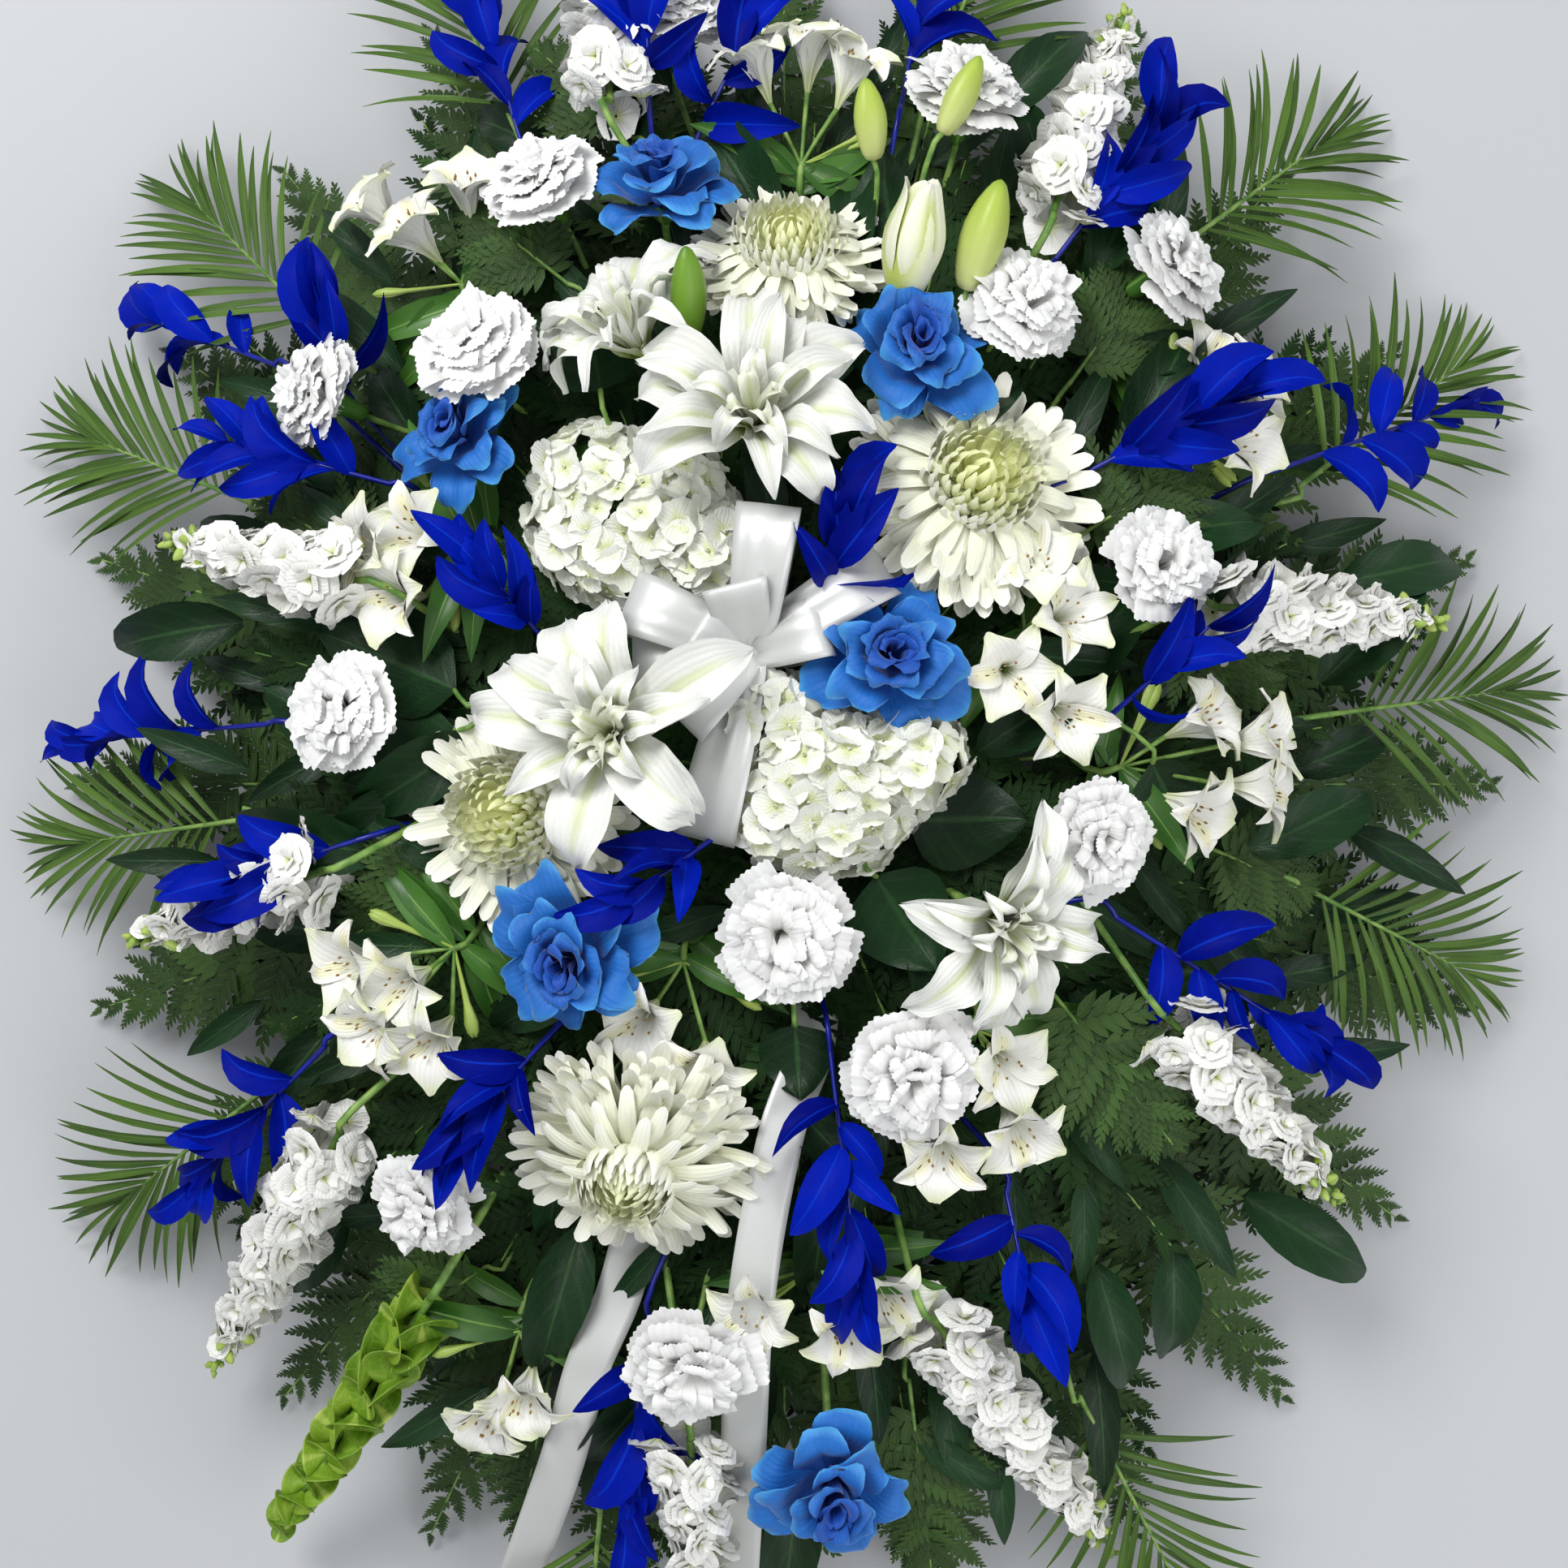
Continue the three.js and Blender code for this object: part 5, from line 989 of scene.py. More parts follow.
for node, seen, width, lift, tilt in CARNATIONS:
    bag, axis, base, at = bloom_place(node, seen, lift, tilt, 16)
    carnation(bag, at, width / 2, seeded(node + str(seen)))
    add_stem(bag, node, base - axis * 0.020, 0.0019, axis)
print("carnations:", len(CARNATIONS))

# %% [markdown]
# ### Chrysanthemums
# Nearly three hundred narrow petals leave the heart by the golden turn, and they change on the way
# in. The outer ones are long and flat, the next arch over at their tips, and the inner ones are short,
# hooked and greener, so three sets are grown, each with its own petal.

# %% Chrysanthemums
# Each row: the head, its place, width and lift, its tilt, the size of its outer hooked petals, how far
# up the arched petals go, in radians, and how green its heart is.
MUMS = [("mum_1", (973, 292), 112, -4, (0, 0.3), 0.58, 0.95, 0.9),
        ("mum_2", (1210, 588), 148, -2, (0.05, 0.05), 0.50, 1.0, 1.0),
        ("mum_3", (622, 1000), 136, -14, (-0.1, 0), 0.54, 0.95, 0.9),
        ("mum_4", (775, 1446), 146, 2, (-0.05, -0.45), 0.50, 1.32, 0.8)]
for node, seen, width, lift, tilt, cushion, open_to, green in MUMS:
    bag, axis, base, at = bloom_place(node, seen, lift, tilt, 20)
    radius = width / 2
    # Each set: petal, count, lowest and highest angle, outer and inner size, tilt, depth, and shades.
    sets = [
        (LONG_PETAL, 84, -0.26, 0.30, 0.99, 0.90, 0.12, 6.0, 0.0, 0.2),
        (ARCHED_PETAL, 76, 0.18, open_to, 0.90, 0.62, 0.12, 9.0, 0.2, 0.5 + 0.3 * green),
        (HOOKED_PETAL, 120, open_to - 0.22, 1.52, cushion, 0.36, 0.07, 12.0, 0.6, 0.6 + 0.4 * green)]
    for leaf, count, low, top, outer, inner, tilted, deep, first, last in sets:
        grown = grow(HEAD, Leaf=leaf, Material=MUM, Count=count, Low=low, High=top,
                     Reach=(4.0, 4.0, deep), Outer_Size=radius * outer, Inner_Size=radius * inner,
                     Size_Change=0.07, Tilt=tilted, Spin=0.2, Seed=seen[0])
        grown["layer"] = first + grown["layer"] * (last - first)
        bag.shape(grown, MUM, at)
    add_stem(bag, node, base - axis * 0.012, 0.0026, axis)
print("chrysanthemums:", len(MUMS))

# %% [markdown]
# ### Double lilies
# The picture shows where the outer petals end, so each one is drawn to its own tip: broad, arched,
# with a fold along the middle and waved sides. Three shorter rings fill the heart.

# %% One lily
OUTER_WIDTHS = np.array([4, 9, 14.5, 17, 14.5, 8.5, 0.8])
# Each inner ring: its reach as a share of the radius, the height of its tips and crest, and its width.
HEART_RINGS = [(0.80, 24, 36, 11), (0.46, 26, 38, 8), (0.24, 26, 36, 6)]


def lily(bag, at, radius, tips, inner, rng):
    """Outer petals to their own tips, and three rings in the heart; drawn for a radius of 80 mm."""
    scale = radius / 80
    for k, tip in enumerate(tips):
        near = (at[0].T @ (at_height(tip, at[1][2] + 0.004) - at[1])) / MM
        reach = float(np.clip(math.hypot(near[0], near[1]), radius * 0.8, radius * 1.14))
        line = [(3, -6), (reach * 0.26, 12), (reach * 0.55, 24), (reach * 0.86, 20),
                (reach * 1.02, rng.uniform(-8, 6))]
        skin = petal(line, OUTER_WIDTHS * scale, rows=20, cols=8, cup=0.20, fold=0.14, ruffle=1.6,
                     folds=rng.uniform(0.8, 1.4), phase=rng.uniform(0, 6.28), twist=rng.uniform(-0.25, 0.25),
                     wavy=4.8, waves=rng.uniform(1.8, 3.2))
        bag.grid(skin, LILY, 0.1, rng.uniform(), at, math.degrees(math.atan2(near[1], near[0])))
    for ring, ((share, low, top, wide), count) in enumerate(zip(HEART_RINGS, inner)):
        for i in range(count):
            out = radius * share * rng.uniform(0.84, 1.08)
            line = [(2, -4), (out * 0.25, low * 0.55), (out * 0.62, top), (out, low + rng.uniform(-5, 4))]
            widths = np.array([3, wide * 0.6, wide, wide * 0.7, 0.8]) * scale
            skin = petal(line, widths, rows=14, cols=6, cup=0.35, fold=0.14, ruffle=2.6,
                         folds=rng.uniform(0.8, 1.6), phase=rng.uniform(0, 6.28),
                         twist=rng.uniform(-0.5, 0.5), wavy=3.0, waves=rng.uniform(1.2, 2.4))
            shade = rng.uniform()
            turn = 360 / count * (i + 0.5 * ring) + rng.uniform(-17, 17)
            bag.grid(skin, LILY, 0.3 + 0.3 * ring, shade, at, turn)


print("rings in a lily's heart:", len(HEART_RINGS))

# %% All the lilies
# Each row: the flower, its place, width, lift and tilt, how many petals its three inner rings have, and
# the places in the picture where its outer petals end.
LILIES = [
    ("lily_1", (770, 400), 120, 20, (-0.30, 0.34), (5, 4, 3),
     [(634, 368), (673, 313), (698, 448), (654, 423), (768, 259), (838, 269), (872, 279)]),
    ("lily_2", (928, 500), 158, 34, (0, 0), (6, 5, 4),
     [(922, 343), (972, 373), (1061, 413), (1074, 532), (1012, 625), (793, 587), (785, 478), (793, 423)]),
    ("lily_3", (745, 900), 164, 34, (0, 0), (2, 6, 6),
     [(749, 745), (690, 764), (615, 815), (573, 878), (707, 1068), (865, 1000), (926, 806), (842, 1000)]),
    ("lily_4", (1245, 1145), 140, 26, (0.10, -0.10), (4, 5, 5),
     [(1279, 989), (1308, 1053), (1365, 1149), (1115, 1110), (1110, 1234), (1216, 1275), (1283, 1255)])]
for node, seen, width, lift, tilt, inner, tips in LILIES:
    bag, axis, base, at = bloom_place(node, seen, lift, tilt, 20)
    lily(bag, at, width / 2, tips, inner, seeded(node))
    add_stem(bag, node, base - axis * 0.008, 0.0026, axis)
print("lilies:", len(LILIES))

# %% [markdown]
# ### Lily buds
# A bud is a closed spindle of three outer petals, so its section has three soft corners, and its
# seams are paler than its flanks. The largest one has begun to open.

# %% Lily buds
# Each row: the group, the bud's middle in the picture, its length and width, where its stalk comes
# from, its lift, and its paint.
BUDS = [
    ("lily_buds_1", (847, 361), 54, 20, (850, 440), 29, BUD_LEAF),
    ("lily_buds_2", (1127, 295), 66, 33, (1110, 390), 22, BUD_WHITE),
    ("lily_buds_2", (1212, 290), 64, 26, (1180, 390), 18, BUD_GREEN),
    ("lily_buds_2", (1184, 117), 48, 18, (1134, 219), 26, BUD_GREEN),
    ("lily_buds_2", (1071, 147), 46, 19, (1080, 240), 10, BUD_GREEN)]
for node, seen, length, width, source, lift, paint in BUDS:
    middle, root = on_dome(seen, lift), on_dome(source, lift - 26)
    axis = unit(middle - root)
    at = stand(middle - axis * length / 2 * MM, axis, seen[0])
    r, n = width / 2, length
    skin = turned_shape([(0.4, 0), (r * 0.5, n * 0.03), (r * 0.84, n * 0.22), (r, n * 0.5),
                         (r * 0.78, n * 0.75), (r * 0.34, n * 0.95), (0.1, n)], around=18)
    angle = np.arctan2(skin[..., 1], skin[..., 0])
    skin[..., :2] *= (1 + 0.07 * np.cos(3 * angle) + 0.03 * np.cos(6 * angle))[..., None]
    bag_for(node).grid(skin, paint, 0, 0.4, at, closed=True)
    if paint is BUD_WHITE:
        for i in range(3):
            line = [(r * 0.5, n * 0.05), (r * 0.9, n * 0.3), (r * 1.03, n * 0.55), (r * 0.7, n * 0.88),
                    (r * 0.66, n)]
            skin = petal(line, [0.5, 0.95, 1.0, 0.85, 0.2], rows=14, cols=8, wrapped=True, ruffle=0.8,
                         folds=1.5)
            bag_for(node).grid(skin, BUD_WHITE, 0, 0.3, at, 120 * i)
    add_stem(bag_for(node), node, at[1], 0.0017, axis)
print("lily buds:", len(BUDS))

# %% [markdown]
# ### Hydrangeas
# A head is a few domes run together, covered with four-petalled florets. They sit by the golden turn
# too, each square to its dome and turned by chance.

# %% Hydrangeas
HEAD_HIGH, FLORET_OUT = 37.0, 9
# Each dome of a head: its shift sideways, its size and height as shares of the head's, and its florets.
LOBES = {"hydrangea_1": [((0, 0), 1.0, 1.0, 96), ((44, -22), 0.52, 0.80, 32), ((-20, 24), 0.66, 0.96, 40)],
         "hydrangea_2": [((-6, -6), 0.92, 1.0, 90), ((-36, 34), 0.46, 0.86, 28), ((38, 10), 0.60, 0.90, 40)]}
# Each row: the head, its place, its length and width, and its lift.
HYDRANGEAS = [("hydrangea_1", (772, 628), (138, 118), -10), ("hydrangea_2", (1028, 960), (142, 122), -4)]
for node, seen, (length, width), lift in HYDRANGEAS:
    spot = on_dome(seen, lift)
    axis = facing(spot)
    at = stand(spot - axis * 22 * MM, axis, 0)
    for k, ((x, y), share, rise, count) in enumerate(LOBES[node]):
        half_x, half_y = (length / 2 - FLORET_OUT) * share, (width / 2 - FLORET_OUT) * share
        top = HEAD_HIGH * rise
        lobe = (at[0], at[1] + at[0] @ np.array([x, y, 0]) * MM)
        head = grow(HEAD, Leaf=FLORET, Material=HYDRANGEA, Count=count, Low=-0.25, High=math.pi / 2,
                    Reach=(half_x, half_y, top), Size_Change=0.14, Tilt=0.34, Spin=3.14, Depth_Change=0.14,
                    Outer_Size=1.12, Inner_Size=1.12, Seed=seen[0] + k)
        core = turned_shape([(half_x - 14, -8), (half_x - 13, 8), (half_x * 0.5, top - 12), (0.5, top - 9)],
                            around=20)
        core[..., 1] *= half_y / half_x
        bag_for(node).grid(core, SOFT_LEAF, 0, 0.2, lobe, closed=True)
        bag_for(node).shape(head, HYDRANGEA, lobe)
    add_stem(bag_for(node), node, spot - axis * 0.046, 0.0030, axis)
print("hydrangea heads:", len(HYDRANGEAS))

# %% [markdown]
# ### Dyed roses
# The roses are full-blown. Wide outer petals lie nearly flat and end in a point, and the inner ones
# wrap closer and stand higher, until the last ones make a tight whorl.

# %% One rose
ROSE_RADIUS = 44
# Each ring from the rim in: petals, their line as (share of the radius, height), half the angle that
# one wraps round the heart, how round its rim is, and its ruffle.
ROSE_RINGS = [(5, [(0.08, 3), (0.45, 3), (0.84, 12), (1.10, 8)], 0.66, 0.50, 3.4),
              (4, [(0.08, 5), (0.38, 10), (0.68, 23), (0.92, 22)], 0.80, 0.44, 3.8),
              (3, [(0.07, 6), (0.27, 16), (0.46, 31), (0.68, 33)], 1.05, 0.34, 3.6),
              (3, [(0.05, 8), (0.20, 20), (0.31, 36), (0.46, 40)], 1.15, 0.26, 2.8),
              (2, [(0.04, 8), (0.13, 22), (0.20, 36), (0.30, 41)], 1.75, 0.16, 1.8),
              (2, [(0.03, 8), (0.08, 22), (0.10, 34), (0.15, 38)], 1.9, 0.08, 1.0)]


def rose(bag, at, radius, rng):
    lean, slant = rng.uniform(0, 180), rng.uniform(0.62, 0.78)
    for k, (count, line, half, rim, wave) in enumerate(ROSE_RINGS):
        widths = [half * 0.8, half, half * 1.05, half * 0.95, half * 0.7]
        for i in range(count):
            wide, high = rng.uniform(0.82, 1.08), rng.uniform(-4, 4) * (k < 4)
            way = [(out * radius * wide, up * radius / ROSE_RADIUS + high * out) for out, up in line]
            # The rim of a petal rolls back, and less so in the tight heart.
            way.append((way[-1][0] + radius * 0.05, way[-1][1] - radius * (0.12 if k < 4 else 0.03)))
            skin = petal(way, widths, rows=12, cols=14, rim=rim, ruffle=wave, folds=rng.uniform(0.7, 1.5),
                         phase=rng.uniform(0, 6.28), twist=rng.uniform(-0.35, 0.35), fold=0.08, wrapped=True)
            skin = skin @ about_z(360 / count * (i + 0.5 * k) + rng.uniform(-22, 22)).T
            skin[..., 1] *= 1 - (1 - slant) * k / 5
            skin[..., :2] += rng.uniform(-2.4, 2.4, 2) * (k > 0)
            bag.grid(skin, ROSE, k / 5, rng.uniform(), at, lean)
    bag.grid(turned_shape([(1.8, -12), (6, -7), (8, 0), (9, 4)]), SOFT_LEAF, 0, 0.5, at, closed=True)


print("petals in a rose:", sum(ring[0] for ring in ROSE_RINGS))

# %% All the roses
# Each row: the rose, its place, width, lift and tilt.
ROSES = [("rose_1", (812, 216), 80, 4, (0, 0.5)), ("rose_2", (1130, 424), 84, 10, (0, 0)),
         ("rose_3", (556, 526), 72, 4, (0, 0)), ("rose_4", (1098, 806), 86, 12, (0, 0)),
         ("rose_5", (698, 1184), 90, 14, (0, 0)), ("rose_6", (1028, 1842), 90, 18, (0, 0.2))]
for node, seen, width, lift, tilt in ROSES:
    bag, axis, base, at = bloom_place(node, seen, lift, tilt, 20)
    rose(bag, at, width / 2, seeded(node))
    add_stem(bag, node, base - axis * 0.010, 0.0024, axis)
print("roses:", len(ROSES))

# %% [markdown]
# ## Sprays
# ### Alstroemeria
# Several stalks leave one fork, each with a trumpet of six petals: three broad outer ones and three
# narrow inner ones, two of them streaked. Curved stamens stand in the throat.

# %% One alstroemeria trumpet
BROAD_PETAL = [1.0, 3.6, 8.2, 12.6, 13.5, 4.0]
NARROW_PETAL = [0.8, 2.6, 5.0, 7.2, 6.8, 1.0]
TRUMPET_LONG = 0.042


def trumpet(bag, fork, tip, turn, rng, sideways):
    """A trumpet whose mouth is at tip, on a stalk from the fork; sideways turns it off the dome."""
    axis = unit(unit(tip - fork) * (0.5 + sideways) + facing(tip) * (0.9 - 0.6 * sideways))
    neck = tip - axis * TRUMPET_LONG
    at = stand(neck, axis, turn)
    for i in range(6):
        inner = i % 2
        flare = rng.uniform(0.92, 1.08)
        line = [(0.6, 0), (2.8, 14), (7, 27), (17 * flare, 38),
                (30 * flare, 39 - 4 * inner + rng.uniform(-4, 5))]
        skin = petal(line, NARROW_PETAL if inner else BROAD_PETAL, rows=12, cols=6, rim=0 if inner else 0.10,
                     cup=0.22, fold=0.12, ruffle=1.2, folds=1.0, twist=rng.uniform(-0.3, 0.3),
                     phase=rng.uniform(0, 6.28))
        bag.grid(skin, STREAKED if inner and i < 5 else ALSTROEMERIA, inner, rng.uniform(), at, 60 * i)
    for i in range(5):
        swing = rng.uniform(-2, 2)
        path = line_through([(1, 0, 4), (3, swing, 22), (6, swing * 2, 36)], 4) @ about_z(72 * i).T
        bag.grid(tube(path, [0.35, 0.3], 4), ALSTROEMERIA, 0, 0.8, at, closed=True)
        anther = path[-1] + np.array([(0, 0, -1.6), (0, 0, 0), (0, 0, 1.6)])
        bag.grid(tube(anther, [0.2, 0.9, 0.2], 5), POLLEN, 0, 0.5, at, closed=True)
    mid = (fork + neck) / 2 + np.array([0, 0, 0.004])
    bag.grid(tube(line_through([fork, mid, neck + axis * 0.002], 6), [0.0011, 0.0016]), STEM, closed=True)


def leaf_at(bag, root, way, length, shape, paint, rng):
    """Plants one leaf on a place, growing along a direction and facing up."""
    ahead = unit(way)
    side = unit(np.cross(UP, ahead))
    turn = np.stack([np.cross(side, ahead) * -1, side, ahead], 1)
    grid = np.array([v.co[:] for v in shape.data.vertices]) * length
    loops = np.array([loop.vertex_index for loop in shape.data.loops])
    uv = np.zeros((len(grid), 2))
    uv[loops] = [d.uv[:] for d in shape.data.uv_layers[0].data]
    sizes = np.full(len(shape.data.polygons), 4)
    bag.add(grid @ turn.T + root, loops, sizes, uv, 0.5, rng.uniform(), paint)


print("a trumpet is", TRUMPET_LONG, "m long")

# %% All alstroemeria sprays
# Each row: the group, the fork's place, the trumpets' places, their turn, and how far they face
# sideways where they do.
ALSTROEMERIAS = [
    ("alstroemeria_1", (987, 204), [(925, 45), (1000, 28), (1062, 55)], 20, 0.6),
    ("alstroemeria_2", (569, 350), [(440, 234), (492, 262), (571, 205)], 0, 0.5),
    ("alstroemeria_3", (575, 668), [(492, 648), (430, 668), (468, 738)], 40),
    ("alstroemeria_3", (560, 1168), [(411, 1196), (479, 1221), (441, 1280), (521, 1300)], 10),
    ("alstroemeria_4", (1262, 775), [(1283, 684), (1329, 751), (1249, 831), (1325, 886)], 30),
    ("alstroemeria_5", (1440, 520), [(1502, 433), (1557, 463), (1552, 542)], 0),
    ("alstroemeria_5", (1380, 945), [(1506, 876), (1585, 905), (1494, 1008), (1585, 975)], 15, 0.6),
    ("alstroemeria_6", (842, 1185), [(783, 1272), (868, 1336)], 25),
    ("alstroemeria_6", (640, 1640), [(590, 1773), (640, 1745)], 0),
    ("alstroemeria_7", (1205, 1270), [(1249, 1322), (1266, 1412), (1161, 1440)], 50),
    ("alstroemeria_7", (1010, 1560), [(922, 1631), (1045, 1658), (1105, 1615)], 30)]
for node, source, heads, turn, *sideways in ALSTROEMERIAS:
    fork, bag, rng = on_dome(source, -38), bag_for(node), seeded(node + str(source))
    tips = [on_dome(seen, 2) for seen in heads]
    out = unit(np.mean(tips, 0) - fork)
    side = unit(np.cross(out, UP))
    for k, tip in enumerate(tips):
        trumpet(bag, fork, tip, turn + 47 * k, rng, sum(sideways))
        ahead = unit(out * 0.5 + side * rng.uniform(0.8, 1.2) * (-1) ** k - UP * 0.1)
        bud = line_through([fork, fork + ahead * 0.040, fork + ahead * 0.053], 5)
        bag.grid(tube(bud, [0.0009, 0.0009, 0.0042, 0.0005]), BUD, closed=True)
    for k in range(6):
        way = out * rng.uniform(-0.3, 0.5) + side * rng.uniform(0.4, 1.2) * (-1) ** k
        way = way - UP * rng.uniform(0.0, 0.3)
        leaf_at(bag, fork - out * 0.004 * k, way, rng.uniform(0.055, 0.085), GREEN_LEAF, SOFT_LEAF, rng)
    add_stem(bag, node, fork, 0.0022, out, beside=turn)
print("alstroemeria trumpets:", sum(len(spray[2]) for spray in ALSTROEMERIAS))

# %% [markdown]
# ### Stock
# A spike of stock carries ruffled double florets in a spiral, large at the foot and smaller near the
# tip, where the last buds are still green.

# %% Spikes of stock
FLORET_GAP = 0.0038
# Each row: the group, and where the spike starts and ends in the picture.
STOCKS = [
    ("stock_1", (440, 716), (205, 668)), ("stock_1", (400, 1072), (158, 1160)),
    ("stock_2", (420, 1395), (262, 1690)), ("stock_2", (850, 1770), (872, 2010)),
    ("stock_3", (1500, 748), (1780, 766)), ("stock_3", (1440, 1255), (1650, 1480)),
    ("stock_4", (1297, 262), (1388, 10)), ("stock_4", (752, 125), (735, -90)),
    ("stock_5", (1150, 1625), (1375, 1915))]
for node, source, tip in STOCKS:
    foot, end = on_dome(source, -8), on_dome(tip, 2)
    line = line_through([foot, (foot + end) / 2 + UP * 0.006, end], 12)
    bag, seed = bag_for(node), source[0]
    count = int(np.linalg.norm(end - foot) / FLORET_GAP)
    shared = {"Turn": GOLDEN, "Face": (0, 0, 1), "Tilt": 0.22, "Spin": 3.0, "Seed": seed, "Size_Change": 0.15}
    florets = grow(SPRIG, line[:11], Leaf=STOCK_FLORET, Material=STOCK, Count=count, Base_Angle=1.35,
                   Tip_Angle=0.95, Base_Size=0.00090, Middle_Size=0.00092, Tip_Size=0.00054,
                   Base_Radius=0.019, Tip_Radius=0.005, **shared)
    buds = grow(SPRIG, line[9:], Leaf=GREEN_BUD, Material=BUD, Count=16, Base_Angle=1.0, Tip_Angle=0.2,
                Base_Size=0.0011, Middle_Size=0.0009, Tip_Size=0.0006, Base_Radius=0.006,
                Tip_Radius=0.001, **shared)
    bag.shape(florets, STOCK)
    bag.shape(buds, BUD)
    bag.grid(tube(line, [0.0024, 0.0014]), STEM, closed=True)
    add_stem(bag, node, foot, 0.0022, unit(end - foot))
print("spikes of stock:", len(STOCKS))

# %% [markdown]
# ## Leafy stems
# Ruscus, palm and fern all follow one path, arched a little between its ends. The sprig tree plants
# their leaves, with its sizes and angles set for each kind, and side branches on a fern's rib.

# %% The line of a stem


def sprig_line(source, tip, lift, sink, arch):
    """A stem's line from a sunken foot to its tip, arched by some millimetres."""
    foot, end = on_dome(source, lift + sink), on_dome(tip, lift)
    return line_through([foot, (foot + end) / 2 + UP * arch * MM, end], 14)


print("every stem's line has", len(sprig_line((900, 900), (1000, 900), 0, 0, 5)), "points")

# %% Ruscus
# Each row: the group, where the sprig starts and ends, its leaves, their length, and its lift.
RUSCUSES = [
    ("ruscus_1", (650, 200), (596, 22), 6, 36, -4), ("ruscus_1", (800, 110), (796, -20), 7, 40, 14),
    ("ruscus_1", (850, 190), (930, 30), 5, 40, -10), ("ruscus_2", (1110, 130), (1150, -60), 7, 42, -6),
    ("ruscus_2", (1300, 320), (1432, 150), 7, 44, 14), ("ruscus_3", (1320, 592), (1530, 484), 8, 40, 10),
    ("ruscus_3", (1570, 580), (1800, 500), 8, 38, 0), ("ruscus_4", (1370, 880), (1490, 772), 5, 40, 8),
    ("ruscus_4", (1004, 752), (1056, 640), 5, 38, 18), ("ruscus_5", (672, 790), (590, 690), 7, 36, 2),
    ("ruscus_5", (480, 596), (280, 545), 8, 36, 4), ("ruscus_5", (430, 470), (404, 388), 5, 38, 0),
    ("ruscus_5", (340, 450), (200, 400), 6, 36, -6), ("ruscus_6", (330, 892), (100, 914), 9, 36, 0),
    ("ruscus_6", (440, 1035), (285, 1085), 8, 38, 6), ("ruscus_7", (874, 1036), (784, 1100), 5, 40, 16),
    ("ruscus_7", (668, 1285), (570, 1395), 7, 38, 14), ("ruscus_7", (400, 1290), (240, 1455), 8, 38, 0),
    ("ruscus_8", (1023, 1295), (1058, 1590), 9, 38, 10), ("ruscus_8", (1375, 1130), (1620, 1285), 9, 38, 6),
    ("ruscus_8", (1240, 1470), (1270, 1620), 6, 36, 4), ("ruscus_8", (800, 1620), (765, 1900), 7, 40, -4)]
for node, source, tip, count, length, lift in RUSCUSES:
    line, bag, size = sprig_line(source, tip, lift, -30, 7), bag_for(node), length * MM * 1.2
    leaves = grow(SPRIG, line, Leaf=RUSCUS_LEAF, Material=RUSCUS, Count=count + 1, First=0.22,
                  Base_Angle=0.85, Tip_Angle=0.15, Raise=0.12, Base_Size=size, Middle_Size=size * 1.05,
                  Tip_Size=size * 0.95, Size_Change=0.24, Tilt=0.42, Spin=0.8, Seed=source[0])
    bag.shape(leaves, RUSCUS)
    bag.grid(tube(line, [0.0016, 0.0009]), BLUE_STEM, closed=True)
    add_stem(bag, node, line[0], 0.0017, line[1] - line[0], BLUE_STEM, source[0])
print("sprigs of ruscus:", len(RUSCUSES))

# %% Palm fronds
# Each row: the group, and where the frond starts and ends.
PALMS = [
    ("palms_1", (640, 170), (530, -70)), ("palms_1", (410, 420), (240, 250)),
    ("palms_1", (310, 620), (110, 540)),
    ("palms_2", (1150, 100), (1230, -100)), ("palms_2", (1460, 300), (1640, 170)),
    ("palms_2", (1600, 600), (1800, 450)), ("palms_3", (1640, 880), (1860, 850)),
    ("palms_3", (1600, 1090), (1810, 1200)), ("palms_3", (1330, 1720), (1470, 1990)),
    ("palms_4", (740, 1860), (720, 2090)), ("palms_4", (330, 1340), (150, 1480)),
    ("palms_4", (300, 1010), (90, 1040))]
for node, source, tip in PALMS:
    line, bag = sprig_line(source, tip, -14, -30, 6), bag_for(node)
    leaves = grow(SPRIG, line, Leaf=PALM_LEAF, Material=PALM, Count=30, First=0.12, Base_Angle=0.95,
                  Tip_Angle=0.12, Raise=0.05, Base_Size=0.085, Middle_Size=0.100, Tip_Size=0.060,
                  Size_Change=0.08, Tilt=0.09, Spin=0.3, Seed=source[0])
    bag.shape(leaves, PALM)
    bag.grid(tube(line, [0.0018, 0.0007]), STEM, closed=True)
    add_stem(bag, node, line[0], 0.0018, line[1] - line[0], STEM, source[0])
print("palm fronds:", len(PALMS))

# %% Fern fronds


def frond(bag, line, width, paint, seed, count=26):
    """A leather fern frond: side branches along its rib, longest near the foot."""
    leaves = grow(SPRIG, line, Leaf=BRANCH, Material=paint, Count=count, First=0.16, Base_Angle=1.15,
                  Tip_Angle=0.30, Raise=0.03, Base_Size=width * 0.58, Middle_Size=width * 0.42,
                  Tip_Size=width * 0.10, Size_Change=0.06, Tilt=0.10, Spin=0.22, Seed=seed)
    bag.shape(leaves, paint)
    bag.grid(tube(line, [0.0014, 0.0006], 5), STEM, closed=True)


